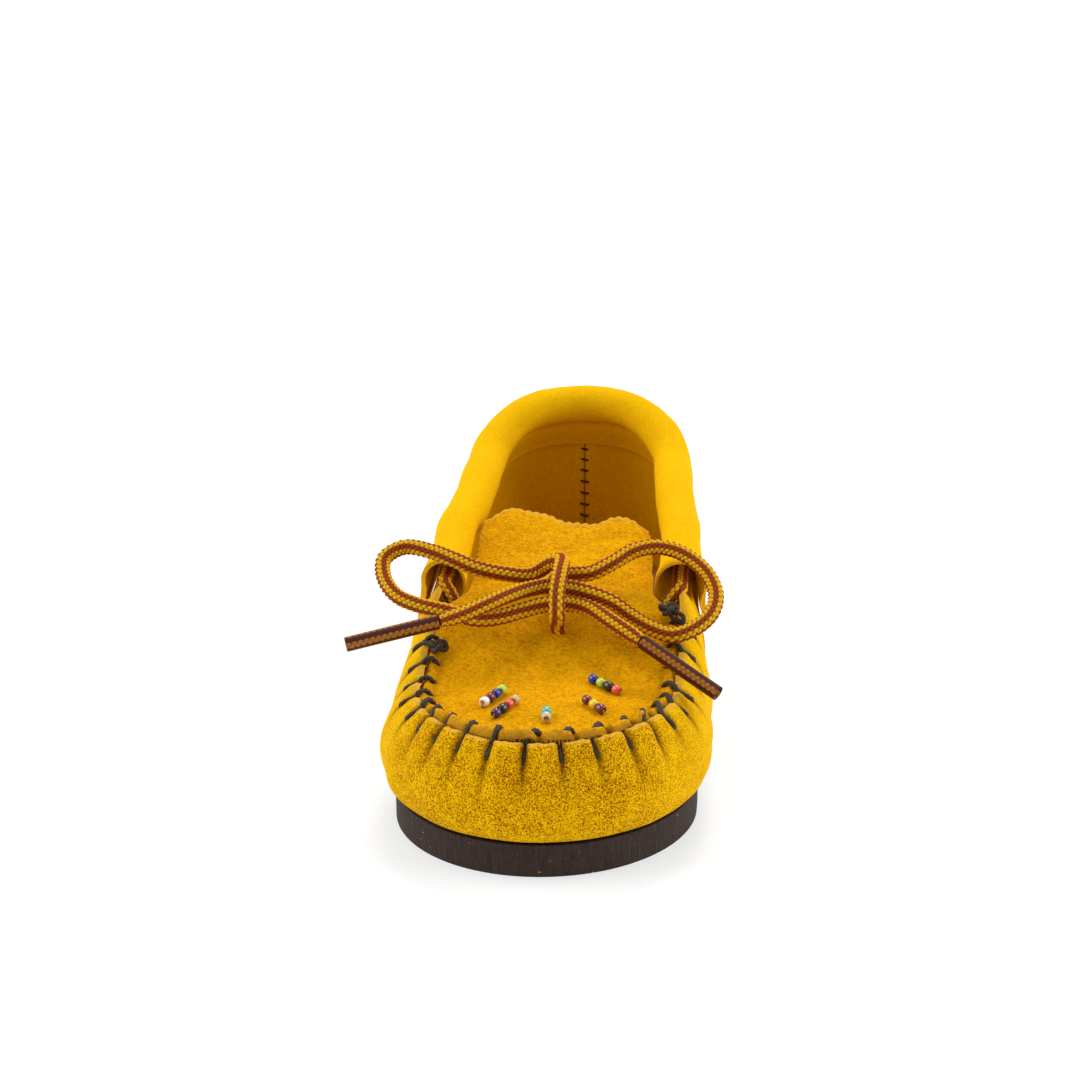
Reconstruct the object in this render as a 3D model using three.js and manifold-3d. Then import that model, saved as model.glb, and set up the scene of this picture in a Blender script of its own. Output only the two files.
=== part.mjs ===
// A child's soft moccasin for the left foot, in millimetres. +Z is up, the toe points to -Y and the big toe's side is -X.
// The origin is on the flat tread, midway along the sole. Every solid is placed by the shoe's own plan outline:
// a "turn" goes once round the shoe, 0 at the toe, 0.25 on the +X side, 0.5 at the heel.
import * as THREE from "three";
import { mergeVertices } from "three/addons/utils/BufferGeometryUtils.js";
import Module from "manifold-3d";

const wasm = await Module();
wasm.setup();

// ---- Driving dimensions ----
const FIT = 0.3; // gap between pieces that lie against each other
const LEATHER = 1.4; // suede of the upper

const SOLE_LENGTH = 150;
const BALL_WIDTH = 64;
const HEEL_WIDTH = 48.5;
const SOLE_THICKNESS = 7;
const SOLE_EDGE_BEVEL = 0.8;
const TOE_DEPTH = 32; // from the toe's tip back to the full ball width
const HEEL_DEPTH = 25; // from the heel's tip forward to the full heel width
const TOE_SWING = 4.2; // how far the toe leans to the big toe's side
const GROOVE_DEPTH = 1.2;
const GROOVE_WIDTH = 2.4;
const GROOVE_PITCH = 9;
const GROOVE_MARGIN = 6; // plain rubber left outside the grooves' ends

const WELT_LEDGE = 1; // the upper's lower edge stands this far inside the sole's edge
const BOARD_THICKNESS = 1.6;
const FOAM_THICKNESS = 3;
const SOCK_THICKNESS = 0.9;

// Shape of the upper, as [share of the length from the toe, value].
const TOP_HEIGHT = [[0, 28.3], [0.22, 27.5], [0.42, 38], [0.6, 43.5], [0.8, 46.8], [1, 56]];
const TOP_INSET = [[0, 5.1], [0.22, 5], [0.42, 3], [0.6, 0.8], [0.8, 0.8], [1, 3.2]];
const LOWER_BULGE = [[0, 5.8], [0.22, 4.8], [0.42, 4.3], [0.6, 3.2], [0.8, 3], [1, 3]];
const UPPER_BULGE = [[0, 5], [0.22, 4.3], [0.42, 3.2], [0.6, 4], [0.8, 3], [1, 3]];

const SIDE_SEAM = 0.42; // share of the length where the toe piece meets the quarters
const SEAM_GAP = 0.001; // half the gap of a butted seam, in turns

const COLLAR_START = 0.44; // share of the length where the collar's tunnel opens
const COLLAR_LEATHER = 1.3;
const COLLAR_LEG = 11; // from the tunnel's middle down to the legs' cut edges
const TUNNEL_ROOM = 1.5; // between the lace and the tunnel's wall

const PLUG_DROP = 1.2; // the plug lies this far below the puckered edge
const PLUG_MARGIN = [[0, 1.7], [0.37, 1.7], [0.43, 6.5], [1, 6.5]]; // in from the wall's top edge
const PLUG_DOME = [[0, 0.6], [0.15, 2.2], [0.42, 2.6], [1, 2.4]];
const PLUG_FRONT = 0.006; // turn of the plug's first row, at the toe
const HINGE_SHARE = 0.478; // share of the length where the plug ends and the tongue bends

const TONGUE_LENGTH = 18;
const TONGUE_SLOPE = 14; // degrees
const TONGUE_ROOT_GAP = 1.6;
const TONGUE_ROOT_WIDTH = 39.4;
const TONGUE_TIP_WIDTH = 38.4;
const TONGUE_TIP_SHIFT = -0.4;
const TONGUE_DOME = 2.4;

const THREAD = 1; // waxed sewing thread
const STITCHES = 23; // whip stitches round the toe
const STITCH_END = 0.385; // share of the length where the last whip stitch stands
const HEEL_STITCHES = 9;

const LACE = 3.6;
const AGLET_DIAMETER = 3.2;
const AGLET_BORE = 1.6;
const AGLET_LENGTH = 20;
const LACE_HOLE_ROOM = 1.1; // round the lace in its holes
// Middles of the holes that the lace passes through, both hidden by the bow's knot.
const LEFT_HOLE = [-1.5, -26.9];
const RIGHT_HOLE = [-2.9, -16.4];

const BEAD = 2.1;
const BEAD_BORE = 0.9;
const BEAD_PITCH = 2.2;
const BEAD_THREAD = 0.5;
const BEAD_LIFT = 1.25; // from the plug's face to a bead's middle
// Bead rows on the plug: [name, centre x, centre y, direction in degrees, colours].
const BEAD_ROWS = [
  ["left_outer", -13.2, -52.2, 62, ["white", "plum", "blue", "lime"]],
  ["left_inner", -10.2, -57.4, 58, ["purple", "black", "coral", "cream"]],
  ["middle", -1.7, -60.6, -87, ["turquoise", "pearl"]],
  ["right_inner", 7.7, -55.1, -47, ["plum", "yellow", "plum"]],
  ["right_outer", 9.6, -44.4, -40, ["blue", "lime", "black", "coral"]]
];

// Routes of the two free laces, from the aglet round the bow to the hole under the knot.
const RIGHT_AGLET = [[17.2, -38.3, 36.5], [32.3, -47.7, 29.8]];
const LEFT_AGLET = [[-25.9, -38.3, 40], [-43, -43, 36.8]];
const LACE_LEFT_ROUTE = [
  [17, -38.2, 36.7], [10.6, -33.2, 38.8], [5.5, -28.2, 39.9], [1.3, -25.9, 39.8], [-1.7, -25.7, 39.7],
  [-4.5, -26.3, 39.6], [-9.1, -29, 39.2], [-13.6, -30.9, 38.4], [-18.3, -31.6, 38.1], [-24.3, -29.5, 38.8],
  [-31.5, -27.2, 39.3], [-36.4, -24.1, 40.1], [-39.8, -18.7, 42.1], [-40.3, -12.9, 44.6],
  [-36.3, -10.4, 46.3], [-29.6, -12.7, 46.2], [-24.5, -15.3, 45.4], [-19.5, -17.1, 44.2],
  [-13.2, -17.2, 43.1], [-8, -16, 42.5], [-5.4, -15.2, 43.7], [-3.1, -16.6, 45.9], [-1.1, -18.5, 46.9],
  [-1, -24.5, 46.2], [-1.3, -29.6, 43.5], [-1.2, -31.5, 39.9], [-1.3, -29, 37.6]
];
const LACE_RIGHT_ROUTE = [
  [-25.6, -38.2, 40.1], [-21.1, -36.2, 41], [-16.6, -33.5, 42.1], [-12.2, -29.4, 42.7],
  [-7.8, -24.8, 42.6], [-3.9, -22.1, 42.4], [-1.5, -21.8, 42.3], [1.5, -22.3, 42.1], [5.5, -24.2, 41.8],
  [10.3, -25.8, 40.5], [14.9, -27.3, 37.7], [19.7, -30.1, 36], [23.6, -31.9, 35.6], [27.8, -30.9, 36.7],
  [31.4, -27.6, 38.7], [32.6, -22.8, 41.2], [31.1, -17.8, 43.7], [28, -13.7, 45.6], [23.8, -10.8, 47],
  [19.2, -9.7, 47.4], [14.4, -10.8, 46.7], [9.9, -14, 45], [5.2, -16.1, 43.3], [1.6, -15.4, 42.7],
  [-0.6, -15, 42.4]
];
// Where the lace turns down into each hole, met by the free lace's end.
const LEFT_ENTRY = [[-1.3, -28.5, 37.1], [-1.3, -27.4, 35.7], [-1.3, -26.9, 33.6], [-3, -26, 31.2]];
const RIGHT_ENTRY = [[-2.1, -15.1, 41.6], [-2.8, -15.6, 40.5], [-3.2, -16.1, 39.4], [-2.9, -16.5, 36.6]];

// ---- Sizes that follow from them ----
const TUNNEL_RADIUS = LACE / 2 + TUNNEL_ROOM;
const COLLAR_RADIUS = TUNNEL_RADIUS + COLLAR_LEATHER;
const LEG_OFFSET = LEATHER / 2 + 2.5 * FIT; // from the quarters' middle to a collar leg's inner face
const QUARTER_DROP = TUNNEL_RADIUS - FIT; // the quarters stop in the tunnel's throat
const LACE_HOLE = LACE + 2 * LACE_HOLE_ROOM;

const COLOURS = {
  suede: 0xf2b705, rubber: 0x3a2a22, lining: 0xb4763a, thread: 0x3b3520, lace: 0xd98a12, film: 0xc9a45a,
  board: 0xc8a878, foam: 0xe8e2d2, white: 0xf4efe6, plum: 0x5a2a38, blue: 0x12286e, lime: 0xb9d36a,
  purple: 0x2e1c44, black: 0x16181c, coral: 0xe0563a, cream: 0xf3e6a6, turquoise: 0x4fb5ae, pearl: 0xefe6cf,
  yellow: 0xf0c419
};

function smooth(t) {
  return t * t * (3 - 2 * t);
}

/** Value of a [share, value] table, eased between its entries. */
function along(table, share) {
  const next = Math.max(1, table.findIndex(([at]) => at >= share));
  const [from, low] = table[next - 1];
  const [to, high] = table[next];
  return low + (high - low) * smooth((share - from) / (to - from));
}

/** Share of the length, 0 at the toe and 1 at the heel, at a turn round the shoe. */
function shareAt(turn) {
  return (1 - Math.cos(2 * Math.PI * turn)) / 2;
}

/** The turn on the +X side where the given share of the length is reached. */
function turnAt(share) {
  return Math.acos(1 - 2 * share) / (2 * Math.PI);
}

/** Half the sole's width at a distance from the toe's tip. */
function halfWidth(distance) {
  const toe = Math.min(1, distance / TOE_DEPTH);
  const heel = Math.min(1, (SOLE_LENGTH - distance) / HEEL_DEPTH);
  const body = Math.min(1, Math.max(0, (distance - TOE_DEPTH) / (SOLE_LENGTH - TOE_DEPTH - HEEL_DEPTH)));
  const width = BALL_WIDTH + (HEEL_WIDTH - BALL_WIDTH) * smooth(body);
  const round = (t) => Math.sqrt(1 - (1 - t) ** 2);
  return (width / 2) * round(toe) * round(heel);
}

/** Point of the sole's plan outline at a turn. */
function outline(turn) {
  const share = shareAt(turn);
  const side = Math.sign(Math.sin(2 * Math.PI * turn));
  const swing = -TOE_SWING * (1 - share) ** 2;
  return new THREE.Vector2(
    swing + side * halfWidth(share * SOLE_LENGTH),
    (share - 0.5) * SOLE_LENGTH
  );
}

/** Outward direction of the plan outline at a turn. */
function outward(turn) {
  const step = 0.004;
  const run = outline(turn + step).sub(outline(turn - step)).normalize();
  return new THREE.Vector2(run.y, -run.x);
}

/** Point that lies out from the sole's edge, and up from the floor, in the upright section at a turn. */
function place(turn, out, up) {
  const edge = outline(turn).addScaledVector(outward(turn), out);
  return new THREE.Vector3(edge.x, edge.y, up);
}

/** Point of the upper's outer wall as [out, up]: rise is 0 at the sole and 1 at the top edge. */
function wall(turn, rise) {
  const share = shareAt(turn);
  const top = along(TOP_HEIGHT, share);
  const height = top - SOLE_THICKNESS;
  const curve = new THREE.CubicBezierCurve(
    new THREE.Vector2(-WELT_LEDGE, SOLE_THICKNESS),
    new THREE.Vector2(along(LOWER_BULGE, share), SOLE_THICKNESS + 0.1 * height),
    new THREE.Vector2(along(UPPER_BULGE, share), SOLE_THICKNESS + 0.82 * height),
    new THREE.Vector2(-along(TOP_INSET, share), top)
  );
  const point = curve.getPoint(rise);
  const run = curve.getTangent(rise);
  return { point, inward: new THREE.Vector2(-run.y, run.x) };
}
/** Point of the upper's inner face at a turn and rise. */
function innerWall(turn, rise) {
  const { point, inward } = wall(turn, rise);
  return point.clone().addScaledVector(inward, LEATHER);
}

/** The rise at which the upper's wall reaches a height above the floor. */
function riseAt(turn, height) {
  let low = 0;
  let high = 1;
  for (let pass = 0; pass < 24; pass += 1) {
    const middle = (low + high) / 2;
    if (wall(turn, middle).point.y < height) low = middle;
    else high = middle;
  }
  return low;
}

/** How far out the inner face lies at a height above the floor. */
function innerReach(turn, height) {
  return innerWall(turn, riseAt(turn, height - LEATHER)).x;
}

// ---- Solids ----

/** Evenly spaced numbers from one value to another. */
function spread(from, to, steps) {
  return Array.from({ length: steps + 1 }, (_, index) => from + ((to - from) * index) / steps);
}

/** Closed solid between two matching grids of points, joined all round their edges. */
function shell(face, back) {
  const rows = face.length;
  const columns = face[0].length;
  const points = [...face.flat(), ...back.flat()];
  const at = (row, column, side) => (side * rows + row) * columns + column;
  const faces = [];
  const quad = (a, b, c, d) => faces.push(a, b, c, a, c, d);
  for (let row = 0; row < rows - 1; row += 1) {
    for (let column = 0; column < columns - 1; column += 1) {
      quad(at(row, column, 0), at(row + 1, column, 0), at(row + 1, column + 1, 0), at(row, column + 1, 0));
      quad(at(row, column, 1), at(row, column + 1, 1), at(row + 1, column + 1, 1), at(row + 1, column, 1));
    }
    const last = columns - 1;
    quad(at(row, 0, 0), at(row, 0, 1), at(row + 1, 0, 1), at(row + 1, 0, 0));
    quad(at(row, last, 0), at(row + 1, last, 0), at(row + 1, last, 1), at(row, last, 1));
  }
  for (let column = 0; column < columns - 1; column += 1) {
    const end = rows - 1;
    quad(at(0, column, 0), at(0, column + 1, 0), at(0, column + 1, 1), at(0, column, 1));
    quad(at(end, column, 0), at(end, column, 1), at(end, column + 1, 1), at(end, column + 1, 0));
  }
  const geometry = new THREE.BufferGeometry();
  geometry.setAttribute("position", new THREE.Float32BufferAttribute(points.flatMap((p) => p.toArray()), 3));
  geometry.setIndex(faces);
  return geometry;
}

/** The upper's leather wall between two turns, up to a depth below its full height. */
function leatherWall(from, to, steps, drop) {
  const grid = (point) => spread(from, to, steps).map((turn) => {
    const top = riseAt(turn, along(TOP_HEIGHT, shareAt(turn)) - drop);
    return spread(0, top, 7).map((rise) => {
      const { x, y } = point(turn, rise);
      return place(turn, x, y + FIT);
    });
  });
  return shell(grid((turn, rise) => wall(turn, rise).point), grid(innerWall));
}

/** Flat plate that follows the plan outline; reach gives how far out it goes at a turn. */
function plate(bottom, thickness, reach) {
  const edge = spread(0, 1, 72).slice(0, -1).map((turn) => {
    const { x, y } = place(turn, reach(turn), 0);
    return new THREE.Vector2(x, y);
  });
  const geometry = new THREE.ExtrudeGeometry(new THREE.Shape(edge), { depth: thickness, bevelEnabled: false });
  return geometry.translate(0, 0, bottom);
}

/** Round bar swept along a smooth route of [x, y, z] points or vectors. */
function bar(route, diameter, steps, sides = 8) {
  const section = spread(0, 2 * Math.PI, sides).slice(0, -1).map((angle) =>
    new THREE.Vector2(Math.cos(angle), Math.sin(angle)).multiplyScalar(diameter / 2));
  const points = route.map((point) => (Array.isArray(point) ? new THREE.Vector3(...point) : point));
  return new THREE.ExtrudeGeometry(new THREE.Shape(section), {
    steps,
    bevelEnabled: false,
    extrudePath: new THREE.CatmullRomCurve3(points)
  });
}

/** Geometry as a solid that can be cut and joined. */
function solid(geometry) {
  const bare = new THREE.BufferGeometry();
  bare.setAttribute("position", geometry.getAttribute("position"));
  bare.setIndex(geometry.getIndex());
  const merged = mergeVertices(bare, 1e-4);
  return new wasm.Manifold(new wasm.Mesh({
    numProp: 3,
    vertProperties: new Float32Array(merged.getAttribute("position").array),
    triVerts: new Uint32Array(merged.getIndex().array)
  }));
}

/** Solid turned back into geometry. */
function geometryOf(body) {
  const mesh = body.getMesh();
  const geometry = new THREE.BufferGeometry();
  geometry.setAttribute("position", new THREE.BufferAttribute(new Float32Array(mesh.vertProperties), 3));
  geometry.setIndex(new THREE.BufferAttribute(new Uint32Array(mesh.triVerts), 1));
  return geometry;
}

// ---- Sole and inner layers ----

/** Outsole with its edge bevelled and shallow grooves across the tread, a plain land left at the middle. */
function outsole() {
  const edge = spread(0, 1, 96).slice(0, -1).map((turn) => outline(turn));
  const block = new THREE.ExtrudeGeometry(new THREE.Shape(edge), {
    depth: SOLE_THICKNESS - 2 * SOLE_EDGE_BEVEL,
    bevelThickness: SOLE_EDGE_BEVEL,
    bevelSize: SOLE_EDGE_BEVEL,
    bevelOffset: -SOLE_EDGE_BEVEL,
    bevelSegments: 1
  }).translate(0, 0, SOLE_EDGE_BEVEL);
  let body = solid(block);
  const count = Math.floor((SOLE_LENGTH / 2 - GROOVE_MARGIN) / GROOVE_PITCH);
  for (let index = -count; index < count; index += 1) {
    const y = (index + 0.5) * GROOVE_PITCH;
    const distance = y + SOLE_LENGTH / 2;
    const length = 2 * (halfWidth(distance) - GROOVE_MARGIN);
    const groove = new THREE.BoxGeometry(length, GROOVE_WIDTH, 2 * GROOVE_DEPTH);
    const swing = -TOE_SWING * (1 - distance / SOLE_LENGTH) ** 2;
    body = body.subtract(solid(groove.translate(swing, y, 0)));
  }
  return geometryOf(body);
}

/** Toe piece: the front wall and the leather that runs on under the whole foot. */
function vamp() {
  const end = turnAt(SIDE_SEAM) - SEAM_GAP;
  const front = leatherWall(-end, end, 34, 0);
  const under = plate(SOLE_THICKNESS + FIT, LEATHER, (turn) => {
    const share = shareAt(turn);
    return share < SIDE_SEAM - 0.03 ? -WELT_LEDGE + 0.1 : -WELT_LEDGE - (LEATHER - 0.2);
  });
  return geometryOf(solid(front).add(solid(under)));
}

/** Rear side wall of the upper; it stops below the lace's tunnel. */
function quarter(side) {
  const front = turnAt(SIDE_SEAM) + SEAM_GAP;
  const back = 0.5 - SEAM_GAP;
  const [from, to] = side > 0 ? [front, back] : [1 - back, 1 - front];
  return leatherWall(from, to, 20, QUARTER_DROP);
}

/** Inner layer of the sole, cut to lie inside the upper. */
function innerLayer(bottom, thickness) {
  return plate(bottom, thickness, (turn) => innerReach(turn, bottom - FIT) - 2.5 * FIT);
}

// ---- Plug and tongue ----

/** Point of the plug's upper face: across is 0 on the +X side and 1 on the -X side. */
function plugPoint(share, across) {
  const turn = turnAt(share);
  const out = -along(TOP_INSET, share) - along(PLUG_MARGIN, share);
  const up = along(TOP_HEIGHT, share) - PLUG_DROP;
  const point = place(turn, out, up).lerp(place(1 - turn, out, up), across);
  point.z += along(PLUG_DOME, share) * 4 * across * (1 - across);
  return point;
}

/** Sheet of leather whose upper face is given as rows of points. */
function leatherSheet(rows) {
  const drop = new THREE.Vector3(0, 0, -LEATHER);
  return shell(rows, rows.map((row) => row.map((point) => point.clone().add(drop))));
}

/** Plug over the toes, with the two holes that the lace passes through. */
function plug() {
  const turns = spread(PLUG_FRONT, turnAt(HINGE_SHARE), 18);
  const rows = turns.map((turn) => spread(0, 1, 8).map((across) => plugPoint(shareAt(turn), across)));
  const holes = [LEFT_HOLE, RIGHT_HOLE].map(([x, y]) =>
    solid(new THREE.CylinderGeometry(LACE_HOLE / 2, LACE_HOLE / 2, 20, 12).rotateX(Math.PI / 2).translate(x, y, 37)));
  return geometryOf(solid(leatherSheet(rows)).subtract(holes[0]).subtract(holes[1]));
}

/** Middle of the tongue's root, on its upper face. */
function tongueRoot() {
  return plugPoint(HINGE_SHARE, 0.5).add(new THREE.Vector3(0, TONGUE_ROOT_GAP, 0));
}

/** Point of the tongue's upper face: reach is 0 at the root and 1 at the tip, across runs from +1 to -1. */
function tonguePoint(reach, across) {
  const slope = THREE.MathUtils.degToRad(TONGUE_SLOPE);
  const half = THREE.MathUtils.lerp(TONGUE_ROOT_WIDTH, TONGUE_TIP_WIDTH, reach) / 2;
  const run = reach * TONGUE_LENGTH;
  const point = tongueRoot();
  point.x += TONGUE_TIP_SHIFT * reach + across * half;
  point.y += run * Math.cos(slope);
  point.z += run * Math.sin(slope) - TONGUE_DOME * across ** 2;
  return point;
}

function tongue() {
  return leatherSheet(spread(0, 1, 5).map((reach) => spread(1, -1, 10).map((across) => tonguePoint(reach, across))));
}

// ---- Collar ----

/** Point beside the wall's middle: depth below the top edge, and offset outward from the leather's middle. */
function besideWall(turn, depth, offset) {
  const { point, inward } = wall(turn, riseAt(turn, along(TOP_HEIGHT, shareAt(turn)) - depth));
  const moved = point.clone().addScaledVector(inward, LEATHER / 2 - offset);
  return place(turn, moved.x, moved.y + FIT);
}

/** Point of the rolled tunnel round the lace, at an angle from straight down, seen from the toe. */
function tunnelPoint(turn, angle, radius) {
  const { point, inward } = wall(turn, 1);
  const centre = point.clone().addScaledVector(inward, LEATHER / 2);
  const upward = new THREE.Vector2(inward.y, -inward.x);
  centre.addScaledVector(upward, -radius * Math.cos(angle)).addScaledVector(inward, -radius * Math.sin(angle));
  return place(turn, centre.x, centre.y + FIT);
}

/** Collar: a strip folded over the lace, with a leg down each side of the quarters. */
function collar() {
  const start = turnAt(COLLAR_START);
  const row = (turn, offset, radius) => {
    const throat = Math.asin(offset / radius);
    const legs = (side, depths) => depths.map((depth) => besideWall(turn, depth, side * offset));
    const round = spread(throat, 2 * Math.PI - throat, 7).map((angle) => tunnelPoint(turn, angle, radius));
    const depths = [COLLAR_LEG, COLLAR_RADIUS + 3.4, COLLAR_RADIUS + 0.8];
    return [...legs(1, depths), ...round, ...legs(-1, depths.reverse())];
  };
  const turns = spread(start, 1 - start, 40);
  return shell(
    turns.map((turn) => row(turn, LEG_OFFSET + COLLAR_LEATHER, COLLAR_RADIUS)),
    turns.map((turn) => row(turn, LEG_OFFSET, TUNNEL_RADIUS))
  );
}

// ---- Lace ----

/** Point of the tunnel's middle, moved inward over the foot and up; side is +1 on the +X side. */
function railPoint(share, side, inward, up) {
  const turn = side > 0 ? turnAt(share) : 1 - turnAt(share);
  const middle = tunnelPoint(turn, 0, 0);
  const edge = outward(turn);
  return middle.add(new THREE.Vector3(-edge.x * inward, -edge.y * inward, up));
}

/** Lace from its entry into the plug, under the plug, and up to the tunnel's mouth. */
function laceToMouth(side, entry, shares) {
  const under = (share, across) =>
    plugPoint(share, side > 0 ? across : 1 - across).add(new THREE.Vector3(0, 0, -LEATHER - 1 - LACE / 2));
  return [
    ...entry.map((point) => new THREE.Vector3(...point)),
    under(shares[0], 0.34),
    under(shares[1], 0.2),
    under(shares[2], 0.08),
    railPoint(0.407, side, 7.4, -7.4),
    railPoint(0.413, side, 4.8, -6.3),
    railPoint(0.419, side, 3.2, -3.8),
    railPoint(0.425, side, 1.5, -1.3),
    railPoint(0.433, side, 0.2, -0.1),
    railPoint(0.449, side, 0, 0)
  ];
}

/** The held stretch of the lace: hole, mouth, round the heel inside the collar, mouth, hole. */
function laceInCollar() {
  const right = laceToMouth(1, RIGHT_ENTRY, [0.395, 0.405, 0.412]);
  const left = laceToMouth(-1, LEFT_ENTRY, [0.36, 0.385, 0.405]);
  const start = turnAt(0.46);
  const round = spread(start, 1 - start, 22).map((turn) => tunnelPoint(turn, 0, 0));
  return bar([...right, ...round, ...left.reverse()], LACE, 66);
}

/** Rolled film on a lace's end. */
function aglet([start, end]) {
  const profile = [
    [AGLET_BORE / 2, 0.3], [AGLET_DIAMETER / 2, 0.3], [AGLET_DIAMETER / 2, AGLET_LENGTH - 0.4],
    [AGLET_DIAMETER / 2 - 0.4, AGLET_LENGTH], [AGLET_BORE / 2, AGLET_LENGTH], [AGLET_BORE / 2, 0.3]
  ].map(([x, y]) => new THREE.Vector2(x, y));
  const direction = new THREE.Vector3(...end).sub(new THREE.Vector3(...start)).normalize();
  const turn = new THREE.Quaternion().setFromUnitVectors(new THREE.Vector3(0, 1, 0), direction);
  return new THREE.LatheGeometry(profile, 12).applyQuaternion(turn).translate(...start);
}

// ---- Sewing thread ----

/** Point just clear of the upper's outer face. */
function offWall(turn, rise, lift) {
  const { point, inward } = wall(turn, rise);
  return place(turn, point.x - inward.x * lift, point.y - inward.y * lift + FIT);
}

/** Whip stitch: plug side, over the puckered edge, down the wall. */
function whipStitch(turn) {
  const share = shareAt(turn);
  const inset = along(TOP_INSET, share);
  const top = along(TOP_HEIGHT, share);
  return [
    place(turn, -inset - 3.8, top + 0.6),
    place(turn, -inset - 0.6, top + 1.5),
    offWall(turn, 0.92, 1.3),
    offWall(turn, 0.83, 1.1)
  ];
}

/** Thread of the toe seam, one crossing after another round the toe. */
function mocSeamThread() {
  const end = turnAt(STITCH_END);
  const crossings = spread(-end, end, STITCHES - 1).map((turn) => whipStitch(turn));
  const route = crossings.flatMap((stitch, index) => (index % 2 ? [...stitch].reverse() : stitch));
  return bar(route, THREAD, STITCHES * 5, 6);
}

/** Thread of the heel seam, lying on the inside of the quarters. */
function heelSeamThread() {
  const route = spread(0.3, 0.7, 2 * HEEL_STITCHES).map((rise, index) => {
    const turn = 0.5 + (index % 2 ? 0.0045 : -0.0045);
    return offWall(turn, rise, -LEATHER - 0.9);
  });
  return bar(route, THREAD, 4 * HEEL_STITCHES, 6);
}

/** Knotted end of the toe seam's thread. */
function threadKnot(side, share, inward, up) {
  const { x, y, z } = railPoint(share, side, inward, up);
  return new THREE.SphereGeometry(1.5, 10, 7).scale(1, 1.25, 0.9).translate(x, y, z);
}

// ---- Beads ----

/** Point of the plug's face nearest below a plan position, found among close steps over it. */
function plugHeight(x, y) {
  let nearest = null;
  let best = Infinity;
  for (const share of spread(0.02, 0.3, 60)) {
    for (const across of spread(0, 1, 40)) {
      const point = plugPoint(share, across);
      const distance = Math.hypot(point.x - x, point.y - y);
      if (distance < best) {
        best = distance;
        nearest = point;
      }
    }
  }
  return nearest.z;
}

/** Line of a bead row: its middle, its unit direction along the plug's face, and its bead count. */
function beadLine([, x, y, heading, colours]) {
  const angle = THREE.MathUtils.degToRad(heading);
  const half = (BEAD_PITCH * (colours.length - 1)) / 2 + BEAD / 2;
  const end = (sign) => {
    const endX = x + sign * half * Math.cos(angle);
    const endY = y + sign * half * Math.sin(angle);
    return new THREE.Vector3(endX, endY, plugHeight(endX, endY) + BEAD_LIFT);
  };
  const middle = end(1).add(end(-1)).divideScalar(2);
  middle.z = Math.max(middle.z, plugHeight(x, y) + BEAD_LIFT);
  return { middle, direction: end(1).sub(end(-1)).normalize(), count: colours.length };
}

/** Seed bead: a rounded ring about its thread. */
function bead(line, index) {
  const profile = spread(0, 2 * Math.PI, 6).map((angle) => {
    const width = (BEAD - BEAD_BORE) / 4;
    const reach = (BEAD + BEAD_BORE) / 4 + width * Math.cos(angle);
    return new THREE.Vector2(reach, 0.9 * Math.sin(angle));
  });
  profile[profile.length - 1] = profile[0].clone();
  const turn = new THREE.Quaternion().setFromUnitVectors(new THREE.Vector3(0, 1, 0), line.direction);
  const offset = (index - (line.count - 1) / 2) * BEAD_PITCH;
  const { x, y, z } = line.middle.clone().addScaledVector(line.direction, offset);
  return new THREE.LatheGeometry(profile, 8).applyQuaternion(turn).translate(x, y, z);
}

/** Thread that the beads of a row sit on. */
function beadThread(line) {
  const half = (line.count * BEAD_PITCH) / 2 + 0.2;
  const turn = new THREE.Quaternion().setFromUnitVectors(new THREE.Vector3(0, 1, 0), line.direction);
  const { x, y, z } = line.middle;
  return new THREE.CylinderGeometry(BEAD_THREAD / 2, BEAD_THREAD / 2, 2 * half, 6)
    .applyQuaternion(turn).translate(x, y, z);
}

// ---- Assembly ----

const moccasin = new THREE.Group();

/** Adds one piece to the shoe. */
function piece(name, geometry, colour, roughness = 0.9) {
  const material = new THREE.MeshStandardMaterial({ color: COLOURS[colour], roughness, metalness: 0 });
  const mesh = new THREE.Mesh(geometry, material);
  mesh.name = name;
  moccasin.add(mesh);
}

const boardBottom = SOLE_THICKNESS + LEATHER + 2 * FIT;
const foamBottom = boardBottom + BOARD_THICKNESS + FIT;
const sockBottom = foamBottom + FOAM_THICKNESS + FIT;

piece("outsole", outsole(), "rubber", 0.8);
piece("vamp", vamp(), "suede");
piece("quarter_left", quarter(-1), "suede");
piece("quarter_right", quarter(1), "suede");
piece("insole_board", innerLayer(boardBottom, BOARD_THICKNESS), "board");
piece("footbed_foam", innerLayer(foamBottom, FOAM_THICKNESS), "foam");
piece("sock_liner", innerLayer(sockBottom, SOCK_THICKNESS), "lining");
piece("plug", plug(), "suede");
piece("tongue", tongue(), "suede");
piece("collar", collar(), "suede");
piece("lace_in_collar", laceInCollar(), "lace");
piece("lace_left", bar(LACE_LEFT_ROUTE, LACE, 50), "lace");
piece("lace_right", bar(LACE_RIGHT_ROUTE, LACE, 46), "lace");
piece("aglet_left", aglet(LEFT_AGLET), "film", 0.3);
piece("aglet_right", aglet(RIGHT_AGLET), "film", 0.3);
piece("moc_seam_thread", mocSeamThread(), "thread", 0.7);
piece("heel_seam_thread", heelSeamThread(), "thread", 0.7);
piece("thread_knot_left", threadKnot(-1, 0.288, 2.4, 2), "thread", 0.7);
piece("thread_knot_right", threadKnot(1, 0.356, 2.9, 2.4), "thread", 0.7);
for (const row of BEAD_ROWS) {
  const [name, , , , colours] = row;
  const line = beadLine(row);
  piece(`bead_thread_${name}`, beadThread(line), "thread", 0.6);
  colours.forEach((colour, index) => {
    piece(`bead_${name}_${index + 1}`, bead(line, index), colour, 0.15);
  });
}

export default moccasin;
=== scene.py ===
"""A child's beaded suede moccasin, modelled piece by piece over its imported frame.

Sizes inside the classes are millimetres and degrees; meshes are made in metres.
A "turn" goes once round the shoe's plan outline: 0 at the toe, 0.25 on the +X side and 0.5 at
the heel.
"""

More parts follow.
